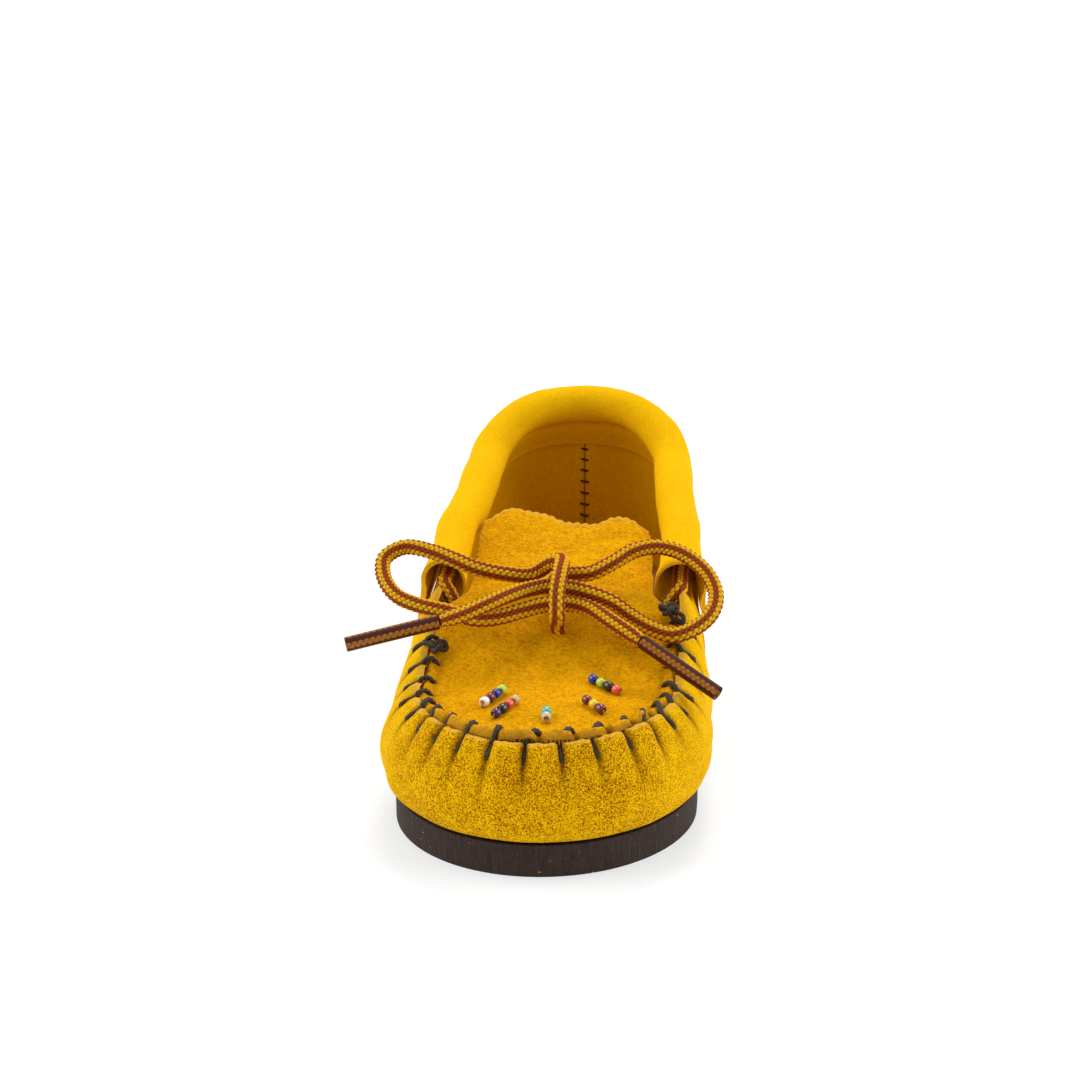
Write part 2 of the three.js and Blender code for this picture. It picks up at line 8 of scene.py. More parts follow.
import logging
import math
from dataclasses import dataclass, field
from enum import Enum

import bmesh
import bpy
import numpy as np
from mathutils import Matrix, Vector
from mathutils.kdtree import KDTree


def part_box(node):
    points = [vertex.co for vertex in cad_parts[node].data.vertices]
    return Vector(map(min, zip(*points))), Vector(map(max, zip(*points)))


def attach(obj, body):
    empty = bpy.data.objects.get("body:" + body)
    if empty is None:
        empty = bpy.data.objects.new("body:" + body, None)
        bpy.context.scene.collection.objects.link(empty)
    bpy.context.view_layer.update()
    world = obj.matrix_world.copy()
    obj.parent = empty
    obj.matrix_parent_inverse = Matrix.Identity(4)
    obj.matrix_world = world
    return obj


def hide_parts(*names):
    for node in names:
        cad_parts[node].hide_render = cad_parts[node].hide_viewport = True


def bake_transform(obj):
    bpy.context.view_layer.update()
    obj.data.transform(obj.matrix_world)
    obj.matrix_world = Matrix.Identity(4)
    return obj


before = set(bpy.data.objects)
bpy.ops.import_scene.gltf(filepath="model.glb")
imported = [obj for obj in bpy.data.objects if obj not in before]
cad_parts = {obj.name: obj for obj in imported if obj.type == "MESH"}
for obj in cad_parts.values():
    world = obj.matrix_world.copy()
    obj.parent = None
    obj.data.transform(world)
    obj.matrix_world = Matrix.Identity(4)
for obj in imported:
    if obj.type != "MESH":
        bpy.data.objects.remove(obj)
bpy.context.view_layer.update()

MM = 0.001
RIPPLE_WAVES = 7
RIPPLE_SCALE = 3.0
POINTS_PER_SPAN = 24
SHORTEST_SPAN = 1e-4
BRAID_COLUMNS = 16
BRAID_SWAY = 0.22
BRAID_LEAN = 0.1
Table = tuple[tuple[float, float], ...]
Colour = tuple[float, float, float]
log = logging.getLogger("moccasin")


class Body(Enum):
    """The two parts of the shoe that move against each other."""

    SHOE = "shoe"
    TONGUE = "tongue_flap"


class Side(Enum):
    """A side of the shoe, by the sign of X."""

    LEFT = -1
    RIGHT = 1


# ---- Numbers and curves ----


def smooth(t: np.ndarray) -> np.ndarray:
    """Ease a share from 0 to 1 so that it starts and ends level."""
    t = np.clip(t, 0.0, 1.0)
    return t * t * (3.0 - 2.0 * t)


def along(table: Table, share: np.ndarray) -> np.ndarray:
    """Read a table of (share, value) rows, eased between its rows.

    Args:
        table: Rows in rising order of share.
        share: Shares to read at.

    Returns:
        The value at each share.
    """
    at = np.array([row[0] for row in table])
    value = np.array([row[1] for row in table])
    share = np.clip(share, at[0], at[-1])
    right = np.clip(np.searchsorted(at, share), 1, len(at) - 1)
    step = (share - at[right - 1]) / (at[right] - at[right - 1])
    return value[right - 1] + (value[right] - value[right - 1]) * smooth(step)


def ripple(points: np.ndarray, pitch: float, seed: int) -> np.ndarray:
    """Make a smooth unevenness that looks hand-made and is the same every time.

    Args:
        points: Places in millimetres, the last axis holding x, y, z.
        pitch: Rough distance between two humps.
        seed: Picks one pattern out of many.

    Returns:
        A height between about -1 and 1 for each place.
    """
    rng = np.random.default_rng(seed)
    total = np.zeros(points.shape[:-1])
    for _ in range(RIPPLE_WAVES):
        way = rng.normal(size=3)
        way *= 2 * math.pi / (pitch * rng.uniform(0.7, 1.6) * np.linalg.norm(way))
        total += np.sin(points @ way + rng.uniform(0, 2 * math.pi))
    return total / RIPPLE_SCALE


def through(points: np.ndarray, step: float) -> np.ndarray:
    """Run a smooth line through control points and space it out evenly.

    Args:
        points: Control points, one per row.
        step: Distance between two neighbouring points of the line.

    Returns:
        Evenly spaced points of the line, one per row.
    """
    points = np.asarray(points, dtype=float)
    padded = np.vstack([2 * points[0] - points[1], points, 2 * points[-1] - points[-2]])
    line = []
    for index in range(1, len(padded) - 2):
        p0, p1, p2, p3 = padded[index - 1 : index + 3]
        spans = ((p0, p1), (p1, p2), (p2, p3))
        d0, d1, d2 = (max(float(np.linalg.norm(b - a)) ** 0.5, SHORTEST_SPAN) for a, b in spans)
        lead = ((p1 - p0) / d0 - (p2 - p0) / (d0 + d1) + (p2 - p1) / d1) * d1
        trail = ((p2 - p1) / d1 - (p3 - p1) / (d1 + d2) + (p3 - p2) / d2) * d1
        t = np.linspace(0, 1, POINTS_PER_SPAN, endpoint=index == len(padded) - 3)[:, None]
        line.append(
            p1 * (2 * t**3 - 3 * t**2 + 1) + p2 * (3 * t**2 - 2 * t**3)
            + lead * (t**3 - 2 * t**2 + t) + trail * (t**3 - t**2)
        )
    line = np.vstack(line)
    run = np.concatenate([[0], np.cumsum(np.linalg.norm(np.diff(line, axis=0), axis=1))])
    even = np.linspace(0, run[-1], max(4, round(run[-1] / step) + 1))
    return np.stack([np.interp(even, run, line[:, axis]) for axis in range(3)], axis=1)


# ---- The shoe's shape ----


@dataclass(frozen=True)
class Last:
    """The form that the upper is pulled over.

    Each table's rows give a share of the length, 0 at the toe, and a size there. The side seam is
    the share at which the toe piece meets the quarters.
    """

    length: float = 150.0
    ball: float = 64.0
    heel: float = 48.5
    toe_depth: float = 32.0
    heel_depth: float = 25.0
    toe_swing: float = 4.2
    sole: float = 7.0
    leather: float = 1.4
    fit: float = 0.3
    ledge: float = 1.0
    side_seam: float = 0.42
    lower_rise: float = 0.1
    upper_rise: float = 0.82
    nudge: float = 0.004
    halvings: int = 22
    top_height: Table = ((0, 28.3), (0.22, 27.5), (0.42, 38), (0.6, 43.5), (0.8, 46.8), (1, 56))
    top_inset: Table = ((0, 5.1), (0.22, 5), (0.42, 3), (0.6, 0.8), (0.8, 0.8), (1, 3.2))
    lower_bulge: Table = ((0, 5.8), (0.22, 4.8), (0.42, 4.3), (0.6, 3.2), (0.8, 3), (1, 3))
    upper_bulge: Table = ((0, 5), (0.22, 4.3), (0.42, 3.2), (0.6, 4), (0.8, 3), (1, 3))

    def share_at(self, turn: np.ndarray) -> np.ndarray:
        """Share of the length, 0 at the toe and 1 at the heel, at a turn."""
        return (1 - np.cos(2 * np.pi * np.asarray(turn))) / 2

    def turn_at(self, share: float) -> float:
        """Turn on the +X side where a share of the length is reached."""
        return math.acos(1 - 2 * share) / (2 * math.pi)

    def half_width(self, distance: np.ndarray) -> np.ndarray:
        """Half the sole's width at a distance back from the toe."""
        toe = np.minimum(1, distance / self.toe_depth)
        heel = np.minimum(1, (self.length - distance) / self.heel_depth)
        body = (distance - self.toe_depth) / (self.length - self.toe_depth - self.heel_depth)
        width = self.ball + (self.heel - self.ball) * smooth(body)
        rounded = [np.sqrt(np.maximum(0, 1 - (1 - end) ** 2)) for end in (toe, heel)]
        return width / 2 * rounded[0] * rounded[1]

    def outline(self, turn: np.ndarray) -> np.ndarray:
        """Plan outline of the sole as [x, y] at each turn."""
        turn = np.asarray(turn, dtype=float)
        share = self.share_at(turn)
        side = np.sign(np.sin(2 * np.pi * turn))
        x = -self.toe_swing * (1 - share) ** 2 + side * self.half_width(share * self.length)
        return np.stack([x, (share - 0.5) * self.length], axis=-1)

    def outward(self, turn: np.ndarray) -> np.ndarray:
        """Unit direction that points out of the plan outline at each turn."""
        turn = np.asarray(turn)
        run = self.outline(turn + self.nudge) - self.outline(turn - self.nudge)
        run /= np.linalg.norm(run, axis=-1, keepdims=True)
        return np.stack([run[..., 1], -run[..., 0]], axis=-1)

    def place(self, turn: np.ndarray, out: np.ndarray, up: np.ndarray) -> np.ndarray:
        """Point that lies out from the sole's edge and up from the floor.

        Args:
            turn: Turn of the upright section.
            out: Distance out from the sole's edge.
            up: Height above the floor.

        Returns:
            Points as [..., x, y, z].
        """
        turn, out, up = np.broadcast_arrays(turn, out, up)
        edge = self.outline(turn) + self.outward(turn) * out[..., None]
        return np.concatenate([edge, up[..., None]], axis=-1)

    def section(self, turn: np.ndarray, rise: np.ndarray) -> tuple[np.ndarray, np.ndarray]:
        """Outer face of the wall in its upright section.

        Args:
            turn: Turn of the section.
            rise: 0 at the sole and 1 at the wall's top edge.

        Returns:
            The [out, up] point, and the unit direction into the leather.
        """
        turn, rise = np.broadcast_arrays(np.asarray(turn, float), np.asarray(rise, float))
        share = self.share_at(turn)
        top = along(self.top_height, share)
        height = top - self.sole
        flat = np.zeros_like(top)
        knots = [
            (flat - self.ledge, flat + self.sole),
            (along(self.lower_bulge, share), self.sole + self.lower_rise * height),
            (along(self.upper_bulge, share), self.sole + self.upper_rise * height),
            (-along(self.top_inset, share), top),
        ]
        knots = [np.stack(knot, axis=-1) for knot in knots]
        r = rise[..., None]
        point = (
            (1 - r) ** 3 * knots[0] + 3 * (1 - r) ** 2 * r * knots[1]
            + 3 * (1 - r) * r**2 * knots[2] + r**3 * knots[3]
        )
        run = (
            (1 - r) ** 2 * (knots[1] - knots[0]) + 2 * (1 - r) * r * (knots[2] - knots[1])
            + r**2 * (knots[3] - knots[2])
        )
        run /= np.linalg.norm(run, axis=-1, keepdims=True)
        return point, np.stack([-run[..., 1], run[..., 0]], axis=-1)

    def wall(self, turn: np.ndarray, rise: np.ndarray, lift: np.ndarray = 0.0) -> np.ndarray:
        """Point of the wall, lifted off its outer face by a distance."""
        point, inward = self.section(turn, rise)
        lift = np.broadcast_to(lift, point.shape[:-1])[..., None]
        out, up = np.moveaxis(point - inward * lift, -1, 0)
        return self.place(turn, out, up + self.fit)

    def rise_at(self, turn: np.ndarray, height: np.ndarray) -> np.ndarray:
        """Rise at which the wall reaches a height above the floor."""
        turn, height = np.broadcast_arrays(np.asarray(turn, float), np.asarray(height, float))
        low, high = np.zeros(turn.shape), np.ones(turn.shape)
        for _ in range(self.halvings):
            middle = (low + high) / 2
            under = self.section(turn, middle)[0][..., 1] < height
            low = np.where(under, middle, low)
            high = np.where(under, high, middle)
        return low

    def beside(self, turn: np.ndarray, depth: np.ndarray, offset: np.ndarray) -> np.ndarray:
        """Point beside the wall's middle, by depth below the top edge and offset outward."""
        share = self.share_at(turn)
        rise = self.rise_at(turn, along(self.top_height, share) - depth)
        return self.wall(turn, rise, np.asarray(offset) - self.leather / 2)

    def tunnel(self, turn: np.ndarray, angle: np.ndarray, radius: np.ndarray) -> np.ndarray:
        """Point round the lace's tunnel, by angle from straight down and radius."""
        turn, angle, radius = np.broadcast_arrays(turn, angle, radius)
        point, inward = self.section(turn, np.ones(turn.shape))
        upward = np.stack([inward[..., 1], -inward[..., 0]], axis=-1)
        centre = (
            point + inward * self.leather / 2
            - upward * (radius * np.cos(angle))[..., None]
            - inward * (radius * np.sin(angle))[..., None]
        )
        return self.place(turn, centre[..., 0], centre[..., 1] + self.fit)


LAST = Last()


# ---- Meshes ----


def deselect_all() -> None:
    """Leave nothing selected, so that an operator acts on the new piece alone."""
    bpy.ops.object.select_all(action="DESELECT")


def work_on(piece: bpy.types.Object) -> None:
    """Make one piece the only selected and the active one."""
    deselect_all()
    piece.select_set(True)
    bpy.context.view_layer.objects.active = piece


def soften(piece: bpy.types.Object, degrees: float = 42.0) -> None:
    """Shade a piece smooth and keep its edges above an angle crisp."""
    work_on(piece)
    bpy.ops.object.shade_smooth_by_angle(angle=math.radians(degrees))
    piece.select_set(False)


def settle(piece: bpy.types.Object) -> None:
    """Write a piece's place, turn and scale into its mesh."""
    work_on(piece)
    bpy.ops.object.transform_apply(location=True, rotation=True, scale=True)


def finish_with(piece: bpy.types.Object, modifier: bpy.types.Modifier) -> None:
    """Apply one modifier of a piece."""
    work_on(piece)
    bpy.ops.object.modifier_apply(modifier=modifier.name)


@dataclass
class Pattern:
    """Points and faces of a mesh while it is drawn up."""

    points: list[np.ndarray] = field(default_factory=list)
    faces: list[tuple[np.ndarray, int]] = field(default_factory=list)
    marks: dict[str, list[np.ndarray]] = field(default_factory=dict)
    uv: list[np.ndarray] = field(default_factory=list)
    count: int = 0

    def add_points(self, points: np.ndarray) -> int:
        """Add points in millimetres, one per row, and return the number of the first."""
        start = self.count
        self.points.append(points)
        self.count += len(points)
        return start

    def add_faces(self, faces: np.ndarray, slot: int = 0, uv: np.ndarray | None = None) -> None:
        """Add faces between points that are there already.

        Args:
            faces: Point numbers of each face, counted over the whole mesh.
            slot: Number of the finish that the faces take.
            uv: Place of each face corner on the pattern.
        """
        self.uv.append(np.zeros((*faces.shape, 2)) if uv is None else uv)
        self.faces.append((faces, slot))

    def add(self, points: np.ndarray, faces: np.ndarray, marks: dict[str, np.ndarray] | None = None,
            uv: np.ndarray | None = None) -> int:
        """Add a set of points with the faces between them.

        Args:
            points: Places in millimetres, one per row.
            faces: Point numbers of each face, counted within this set.
            marks: Named values for each point, for the finish to read.
            uv: Place of each face corner on the pattern.

        Returns:
            The number of the first added point.
        """
        start = self.add_points(points)
        self.add_faces(faces + start, uv=uv)
        for name, values in (marks or {}).items():
            self.marks.setdefault(name, []).append(values)
        return start

    def make(self, name: str, has_uv: bool = False) -> bpy.types.Object:
        """Turn the pattern into an object.

        Args:
            name: Name of the new piece.
            has_uv: Whether the piece keeps its face corners' places.

        Returns:
            The new piece, at the origin.
        """
        faces = [face for block, _ in self.faces for face in block.tolist()]
        mesh = bpy.data.meshes.new(name)
        mesh.from_pydata((np.vstack(self.points) * MM).tolist(), [], faces)
        slots = np.concatenate([np.full(len(block), slot) for block, slot in self.faces])
        mesh.polygons.foreach_set("material_index", slots.astype(np.int32))
        for mark, values in self.marks.items():
            layer = mesh.attributes.new(mark, "FLOAT", "POINT")
            layer.data.foreach_set("value", np.concatenate(values).astype(np.float32))
        if has_uv:
            layer = mesh.uv_layers.new(name="pattern")
            corners = np.concatenate([block.reshape(-1) for block in self.uv])
            layer.data.foreach_set("uv", corners.astype(np.float32))
        mesh.update()
        piece = bpy.data.objects.new(name, mesh)
        bpy.context.scene.collection.objects.link(piece)
        return piece


def grid_faces(rows: int, columns: int, flip: bool = False) -> np.ndarray:
    """Number the four corners of each cell of a grid of points.

    Args:
        rows: Number of rows of points.
        columns: Number of points in a row.
        flip: Whether the faces look the other way.

    Returns:
        One row of four point numbers per cell.
    """
    row, column = np.meshgrid(np.arange(rows - 1), np.arange(columns - 1), indexing="ij")
    first = (row * columns + column).reshape(-1)
    faces = np.stack([first, first + columns, first + columns + 1, first + 1], axis=1)
    return faces[:, ::-1] if flip else faces


def rim_faces(rows: int, columns: int) -> np.ndarray:
    """Number the faces that close a sheet's cut edge between its two sides."""
    size = rows * columns
    first = np.arange(columns)
    last = size - columns + np.arange(columns)
    left = np.arange(rows) * columns
    right = left + columns - 1
    strips = []
    for edge, flip in ((first, False), (last, True), (left, True), (right, False)):
        a, b = edge[:-1], edge[1:]
        strip = np.stack([a, b, b + size, a + size], axis=1)
        strips.append(strip[:, ::-1] if flip else strip)
    return np.vstack(strips)


def sheet_of_leather(face: np.ndarray, back: np.ndarray, marks: dict[str, np.ndarray],
                     back_slot: int = 0) -> Pattern:
    """Draw up a closed sheet between two grids of points.

    Args:
        face: Outer side as rows of points.
        back: Inner side, matching the outer one point by point.
        marks: Named values for each point of the outer side, used for both.
        back_slot: Number of the finish on the inner side.

    Returns:
        A pattern with the sheet in it.
    """
    pattern = Pattern()
    rows, columns = face.shape[:2]
    both = np.vstack([face.reshape(-1, 3), back.reshape(-1, 3)])
    doubled = {name: np.concatenate([value.reshape(-1)] * 2) for name, value in marks.items()}
    pattern.add(both, grid_faces(rows, columns), doubled)
    pattern.add_faces(grid_faces(rows, columns, True) + rows * columns, back_slot)
    pattern.add_faces(rim_faces(rows, columns))
    return pattern


def frames_along(line: np.ndarray, up: np.ndarray) -> tuple[np.ndarray, np.ndarray]:
    """Carry a pair of directions along a line without twisting them.

    Args:
        line: Points of the line, one per row.
        up: A direction to start from.

    Returns:
        Two unit directions square to the line at each point.
    """
    tangent = np.gradient(line, axis=0)
    tangent /= np.linalg.norm(tangent, axis=1, keepdims=True)
    side = np.zeros_like(line)
    current = up - tangent[0] * np.dot(up, tangent[0])
    for index, way in enumerate(tangent):
        current = current - way * np.dot(current, way)
        current /= np.linalg.norm(current)
        side[index] = current
    return side, np.cross(tangent, side)


def tube(pattern: Pattern, line: np.ndarray, radius: np.ndarray, up: np.ndarray,
         turns: np.ndarray | float = 0.0, uv_length: np.ndarray | None = None) -> None:
    """Draw a closed tube along a line.

    Args:
        pattern: Pattern to add the tube to.
        line: Ring centres, one per row.
        radius: Distance of each point from its ring's centre, as rings by sides.
        up: Direction in which each ring's first point starts out.
        turns: Twist of each ring in whole turns.
        uv_length: Place of each ring along the pattern, where the tube has one.
    """
    rings, sides = radius.shape
    side, other = frames_along(line, up)
    angle = 2 * np.pi * (np.arange(sides) / sides + np.broadcast_to(turns, rings)[:, None])
    points = (
        line[:, None, :] + side[:, None, :] * (radius * np.cos(angle))[..., None]
        + other[:, None, :] * (radius * np.sin(angle))[..., None]
    )
    ring, at = np.meshgrid(np.arange(rings - 1), np.arange(sides), indexing="ij")
    nxt = (at + 1) % sides
    here, there = ring * sides, (ring + 1) * sides
    faces = np.stack([here + at, here + nxt, there + nxt, there + at], -1)
    uv = None
    if uv_length is not None:
        across = np.stack([at, at + 1, at + 1, at], -1) / sides
        before, after = uv_length[ring], uv_length[ring + 1]
        uv = np.stack([across, np.stack([before, before, after, after], -1)], -1).reshape(-1, 4, 2)
    start = pattern.add(points.reshape(-1, 3), faces.reshape(-1, 4), uv=uv)
    for end, centre, flip in ((0, line[0], True), (rings - 1, line[-1], False)):
        edge = start + np.arange(sides) + end * sides
        hub = pattern.add_points(centre[None, :])
        cap = np.stack([np.full(sides, hub), edge, np.roll(edge, -1)], 1)
        at_end = 0.0 if uv_length is None else float(uv_length[end])
        cap_uv = np.tile([0.5, at_end], (sides, 3, 1))
        pattern.add_faces(cap[:, ::-1] if flip else cap, uv=cap_uv)


# ---- Finishes ----


def linear(red: int, green: int, blue: int) -> Colour:
    """Turn a colour given on the usual 0 to 255 scale into the renderer's own numbers."""
    shares = [value / 255 for value in (red, green, blue)]
    return tuple(s / 12.92 if s <= 0.04045 else ((s + 0.055) / 1.055) ** 2.4 for s in shares)


class Recipe:
    """A finish's node tree while it is put together."""

    def __init__(self, name: str) -> None:
        """Start an empty finish."""
        self.material = bpy.data.materials.new(name)
        self.material.use_nodes = True
        self.tree = self.material.node_tree
        self.tree.nodes.clear()
        output = self.tree.nodes.new("ShaderNodeOutputMaterial")
        self.shader = self.tree.nodes.new("ShaderNodeBsdfPrincipled")
        self.join(self.shader.outputs[0], output.inputs[0])

    def join(self, source: bpy.types.NodeSocket, target: bpy.types.NodeSocket) -> None:
        """Link an output to an input."""
        self.tree.links.new(source, target)

    def feed(self, target: bpy.types.NodeSocket, value: object) -> None:
        """Set an input to a plain value, or link it to an output."""
        if isinstance(value, bpy.types.NodeSocket):
            self.join(value, target)
        elif isinstance(value, tuple) and len(value) == 3 and target.type == "RGBA":
            target.default_value = (*value, 1.0)
        else:
            target.default_value = value

    def place(self, kind: str = "Object", stretch: tuple[float, float, float] = (1, 1, 1),
              turn: tuple[float, float, float] = (0, 0, 0)) -> bpy.types.NodeSocket:
        """Coordinates that a pattern lies on.

        Args:
            kind: "Object", or "UV" for the piece's own pattern.
            stretch: Scale along each axis.
            turn: Turn about each axis, in degrees.

        Returns:
            The coordinates' output.
        """
        source = self.tree.nodes.new("ShaderNodeTexCoord").outputs[kind]
        if stretch == (1, 1, 1) and turn == (0, 0, 0):
            return source
        mapping = self.tree.nodes.new("ShaderNodeMapping")
        mapping.inputs["Scale"].default_value = stretch
        mapping.inputs["Rotation"].default_value = [math.radians(angle) for angle in turn]
        self.join(source, mapping.inputs["Vector"])
        return mapping.outputs[0]

    def noise(self, where: bpy.types.NodeSocket, size: float, detail: float, rough: float,
              swirl: float = 0.0) -> bpy.types.NodeSocket:
        """Cloudy pattern whose humps are about `size` millimetres apart."""
        node = self.tree.nodes.new("ShaderNodeTexNoise")
        node.inputs["Scale"].default_value = 1000.0 / size
        node.inputs["Detail"].default_value = detail
        node.inputs["Roughness"].default_value = rough
        node.inputs["Distortion"].default_value = swirl
        self.join(where, node.inputs["Vector"])
        return node.outputs[0]

    def sum(self, kind: str, first: object, second: object = 0.0) -> bpy.types.NodeSocket:
        """Result of one arithmetic step."""
        node = self.tree.nodes.new("ShaderNodeMath")
        node.operation = kind
        for socket, value in zip(node.inputs, (first, second)):
            self.feed(socket, value)
        return node.outputs[0]

    def spread(self, value: bpy.types.NodeSocket, low: float, high: float, to_low: float = 0.0,
               to_high: float = 1.0) -> bpy.types.NodeSocket:
        """Stretch a value from one range to another, held at the ends."""
        node = self.tree.nodes.new("ShaderNodeMapRange")
        self.join(value, node.inputs[0])
        for socket, number in zip(node.inputs[1:5], (low, high, to_low, to_high)):
            socket.default_value = number
        return node.outputs[0]

    def mix(self, share: object, first: object, second: object,
            how: str = "MIX") -> bpy.types.NodeSocket:
        """Colour between two others."""
        node = self.tree.nodes.new("ShaderNodeMix")
        node.data_type = "RGBA"
        node.blend_type = how
        self.feed(node.inputs[0], share)
        self.feed(node.inputs[6], first)
        self.feed(node.inputs[7], second)
        return node.outputs[2]

    def mark(self, name: str) -> bpy.types.NodeSocket:
        """Value of a named mark on the mesh."""
        node = self.tree.nodes.new("ShaderNodeAttribute")
        node.attribute_name = name
        return node.outputs["Fac"]

    def bump(self, height: bpy.types.NodeSocket, depth: float, strength: float) -> None:
        """Raise the surface by a pattern.

        Args:
            height: Pattern between 0 and 1.
            depth: Height of a hump in millimetres.
            strength: Share of the effect.
        """
        node = self.tree.nodes.new("ShaderNodeBump")
        node.inputs["Strength"].default_value = strength
        node.inputs["Distance"].default_value = depth * MM
        self.join(height, node.inputs["Height"])
        self.join(node.outputs[0], self.shader.inputs["Normal"])

    def set(self, **sockets: object) -> None:
        """Set the shader's inputs, named with underscores for spaces."""
        for name, value in sockets.items():
            self.feed(self.shader.inputs[name.replace("_", " ")], value)


@dataclass(frozen=True)
class Suede:
    """Brushed split leather: a nap of fine fibres, darker where it stands up, with painted shade in
    creases and on less-lit parts.
    """

    name: str
    flat: Colour = linear(252, 192, 3)
    lifted: Colour = linear(138, 78, 6)
    raw: Colour = linear(232, 178, 70)
    shadow: Colour = linear(92, 50, 8)
    fringe: Colour = linear(255, 200, 20)
    grain: float = 0.36
    low: float = 0.4
    high: float = 0.58
    stretch: tuple[float, float, float] = (1, 1, 1)
    turn: tuple[float, float, float] = (0, 0, 0)
    swirl: float = 0.0
    depth: float = 0.34
    sheen: float = 0.05
    patchy: float = 0.14
    fluffy: float = 0.3

    def make(self) -> bpy.types.Material:
        """Build the finish; three marks steer it: dark nap speckle with painted shade, worn cut
        edges, and painted shade in creases.
        """
        r = Recipe(self.name)
        where = r.place(stretch=self.stretch, turn=self.turn)
        plain = r.place()
        fibres = r.noise(where, self.grain, 4.0, 0.72, self.swirl)
        fluff = r.noise(plain, 0.16, 2.0, 0.7)
        patches = r.noise(plain, 3.4, 3.0, 0.62)
        clouds = r.noise(plain, 17.0, 2.0, 0.5)
        tone = fibres
        layers = ((patches, self.patchy), (clouds, self.patchy * 0.8), (fluff, self.fluffy))
        for cloudy, share in layers:
            tone = r.sum("ADD", tone, r.sum("MULTIPLY", r.sum("SUBTRACT", cloudy, 0.5), share))
        lit = r.spread(tone, self.low, self.high)
        # the mark darkens the speckle: real nap in part, and painted shade where the toe's front
        # and the plug get less light
        lit = r.sum("SUBTRACT", 1.0, r.sum("MULTIPLY", r.sum("SUBTRACT", 1.0, lit), r.mark("nap_and_shade")))
        lit = r.sum("MAXIMUM", lit, 0.0)
        colour = r.mix(lit, self.lifted, self.flat)
        worn = r.sum("MULTIPLY", r.mark("edge"), r.spread(fluff, 0.35, 0.6, 0.25, 0.95))
        colour = r.mix(worn, colour, self.raw)
        # painted shade in creases, folds and seams: the colour is pulled towards the shadow colour
        colour = r.mix(r.sum("MULTIPLY", r.mark("crease_shade"), 0.75), colour, self.shadow)
        height = r.sum("ADD", r.sum("MULTIPLY", fibres, 0.6), r.sum("MULTIPLY", fluff, 0.35))
        height = r.sum("ADD", height, r.sum("MULTIPLY", patches, 0.4))
        r.bump(height, self.depth, 0.85)
        r.set(Base_Color=colour, Roughness=0.95, Specular_IOR_Level=0.05)
        r.set(Sheen_Weight=self.sheen, Sheen_Roughness=0.4, Sheen_Tint=self.fringe)
        return r.material


@dataclass(frozen=True)
class Rubber:
    """Dark crepe rubber with a sanded edge and stray crumbs of nap."""

    name: str = "crepe_rubber"
    dark: Colour = linear(30, 21, 17)
    light: Colour = linear(64, 48, 40)
    dusty: Colour = linear(60, 42, 34)
    crumb: Colour = linear(190, 140, 50)

    def make(self) -> bpy.types.Material:
        """Build the finish."""
        r = Recipe(self.name)
        streaks = r.noise(r.place(stretch=(1, 1, 0.12)), 0.55, 3.0, 0.65)
        cells = r.noise(r.place(), 0.5, 3.0, 0.7)
        cloud = r.noise(r.place(), 9.0, 2.0, 0.5)
        tone = r.sum("ADD", r.sum("MULTIPLY", streaks, 0.55), r.sum("MULTIPLY", cells, 0.45))
        colour = r.mix(r.spread(tone, 0.36, 0.64), self.dark, self.light)
        colour = r.mix(r.spread(cloud, 0.4, 0.65, 0, 0.35), colour, self.dusty)
        specks = r.noise(r.place(), 0.8, 1.0, 0.4)
        colour = r.mix(r.spread(specks, 0.765, 0.785), colour, self.crumb)
        r.bump(r.sum("ADD", streaks, r.sum("MULTIPLY", cells, 0.7)), 0.22, 0.8)
        r.set(Base_Color=colour, Roughness=0.82, Specular_IOR_Level=0.3)
        return r.material


@dataclass(frozen=True)
class Thread:
    """Waxed twisted sewing thread."""

    name: str
    light: Colour = linear(74, 60, 38)
    dark: Colour = linear(30, 24, 16)

    def make(self) -> bpy.types.Material:
        """Build the finish."""
        r = Recipe(self.name)
        hairs = r.noise(r.place(), 0.22, 3.0, 0.7)
        colour = r.mix(r.spread(hairs, 0.38, 0.62), self.dark, self.light)
        r.bump(hairs, 0.08, 0.7)
        r.set(Base_Color=colour, Roughness=0.6, Specular_IOR_Level=0.4)
        return r.material


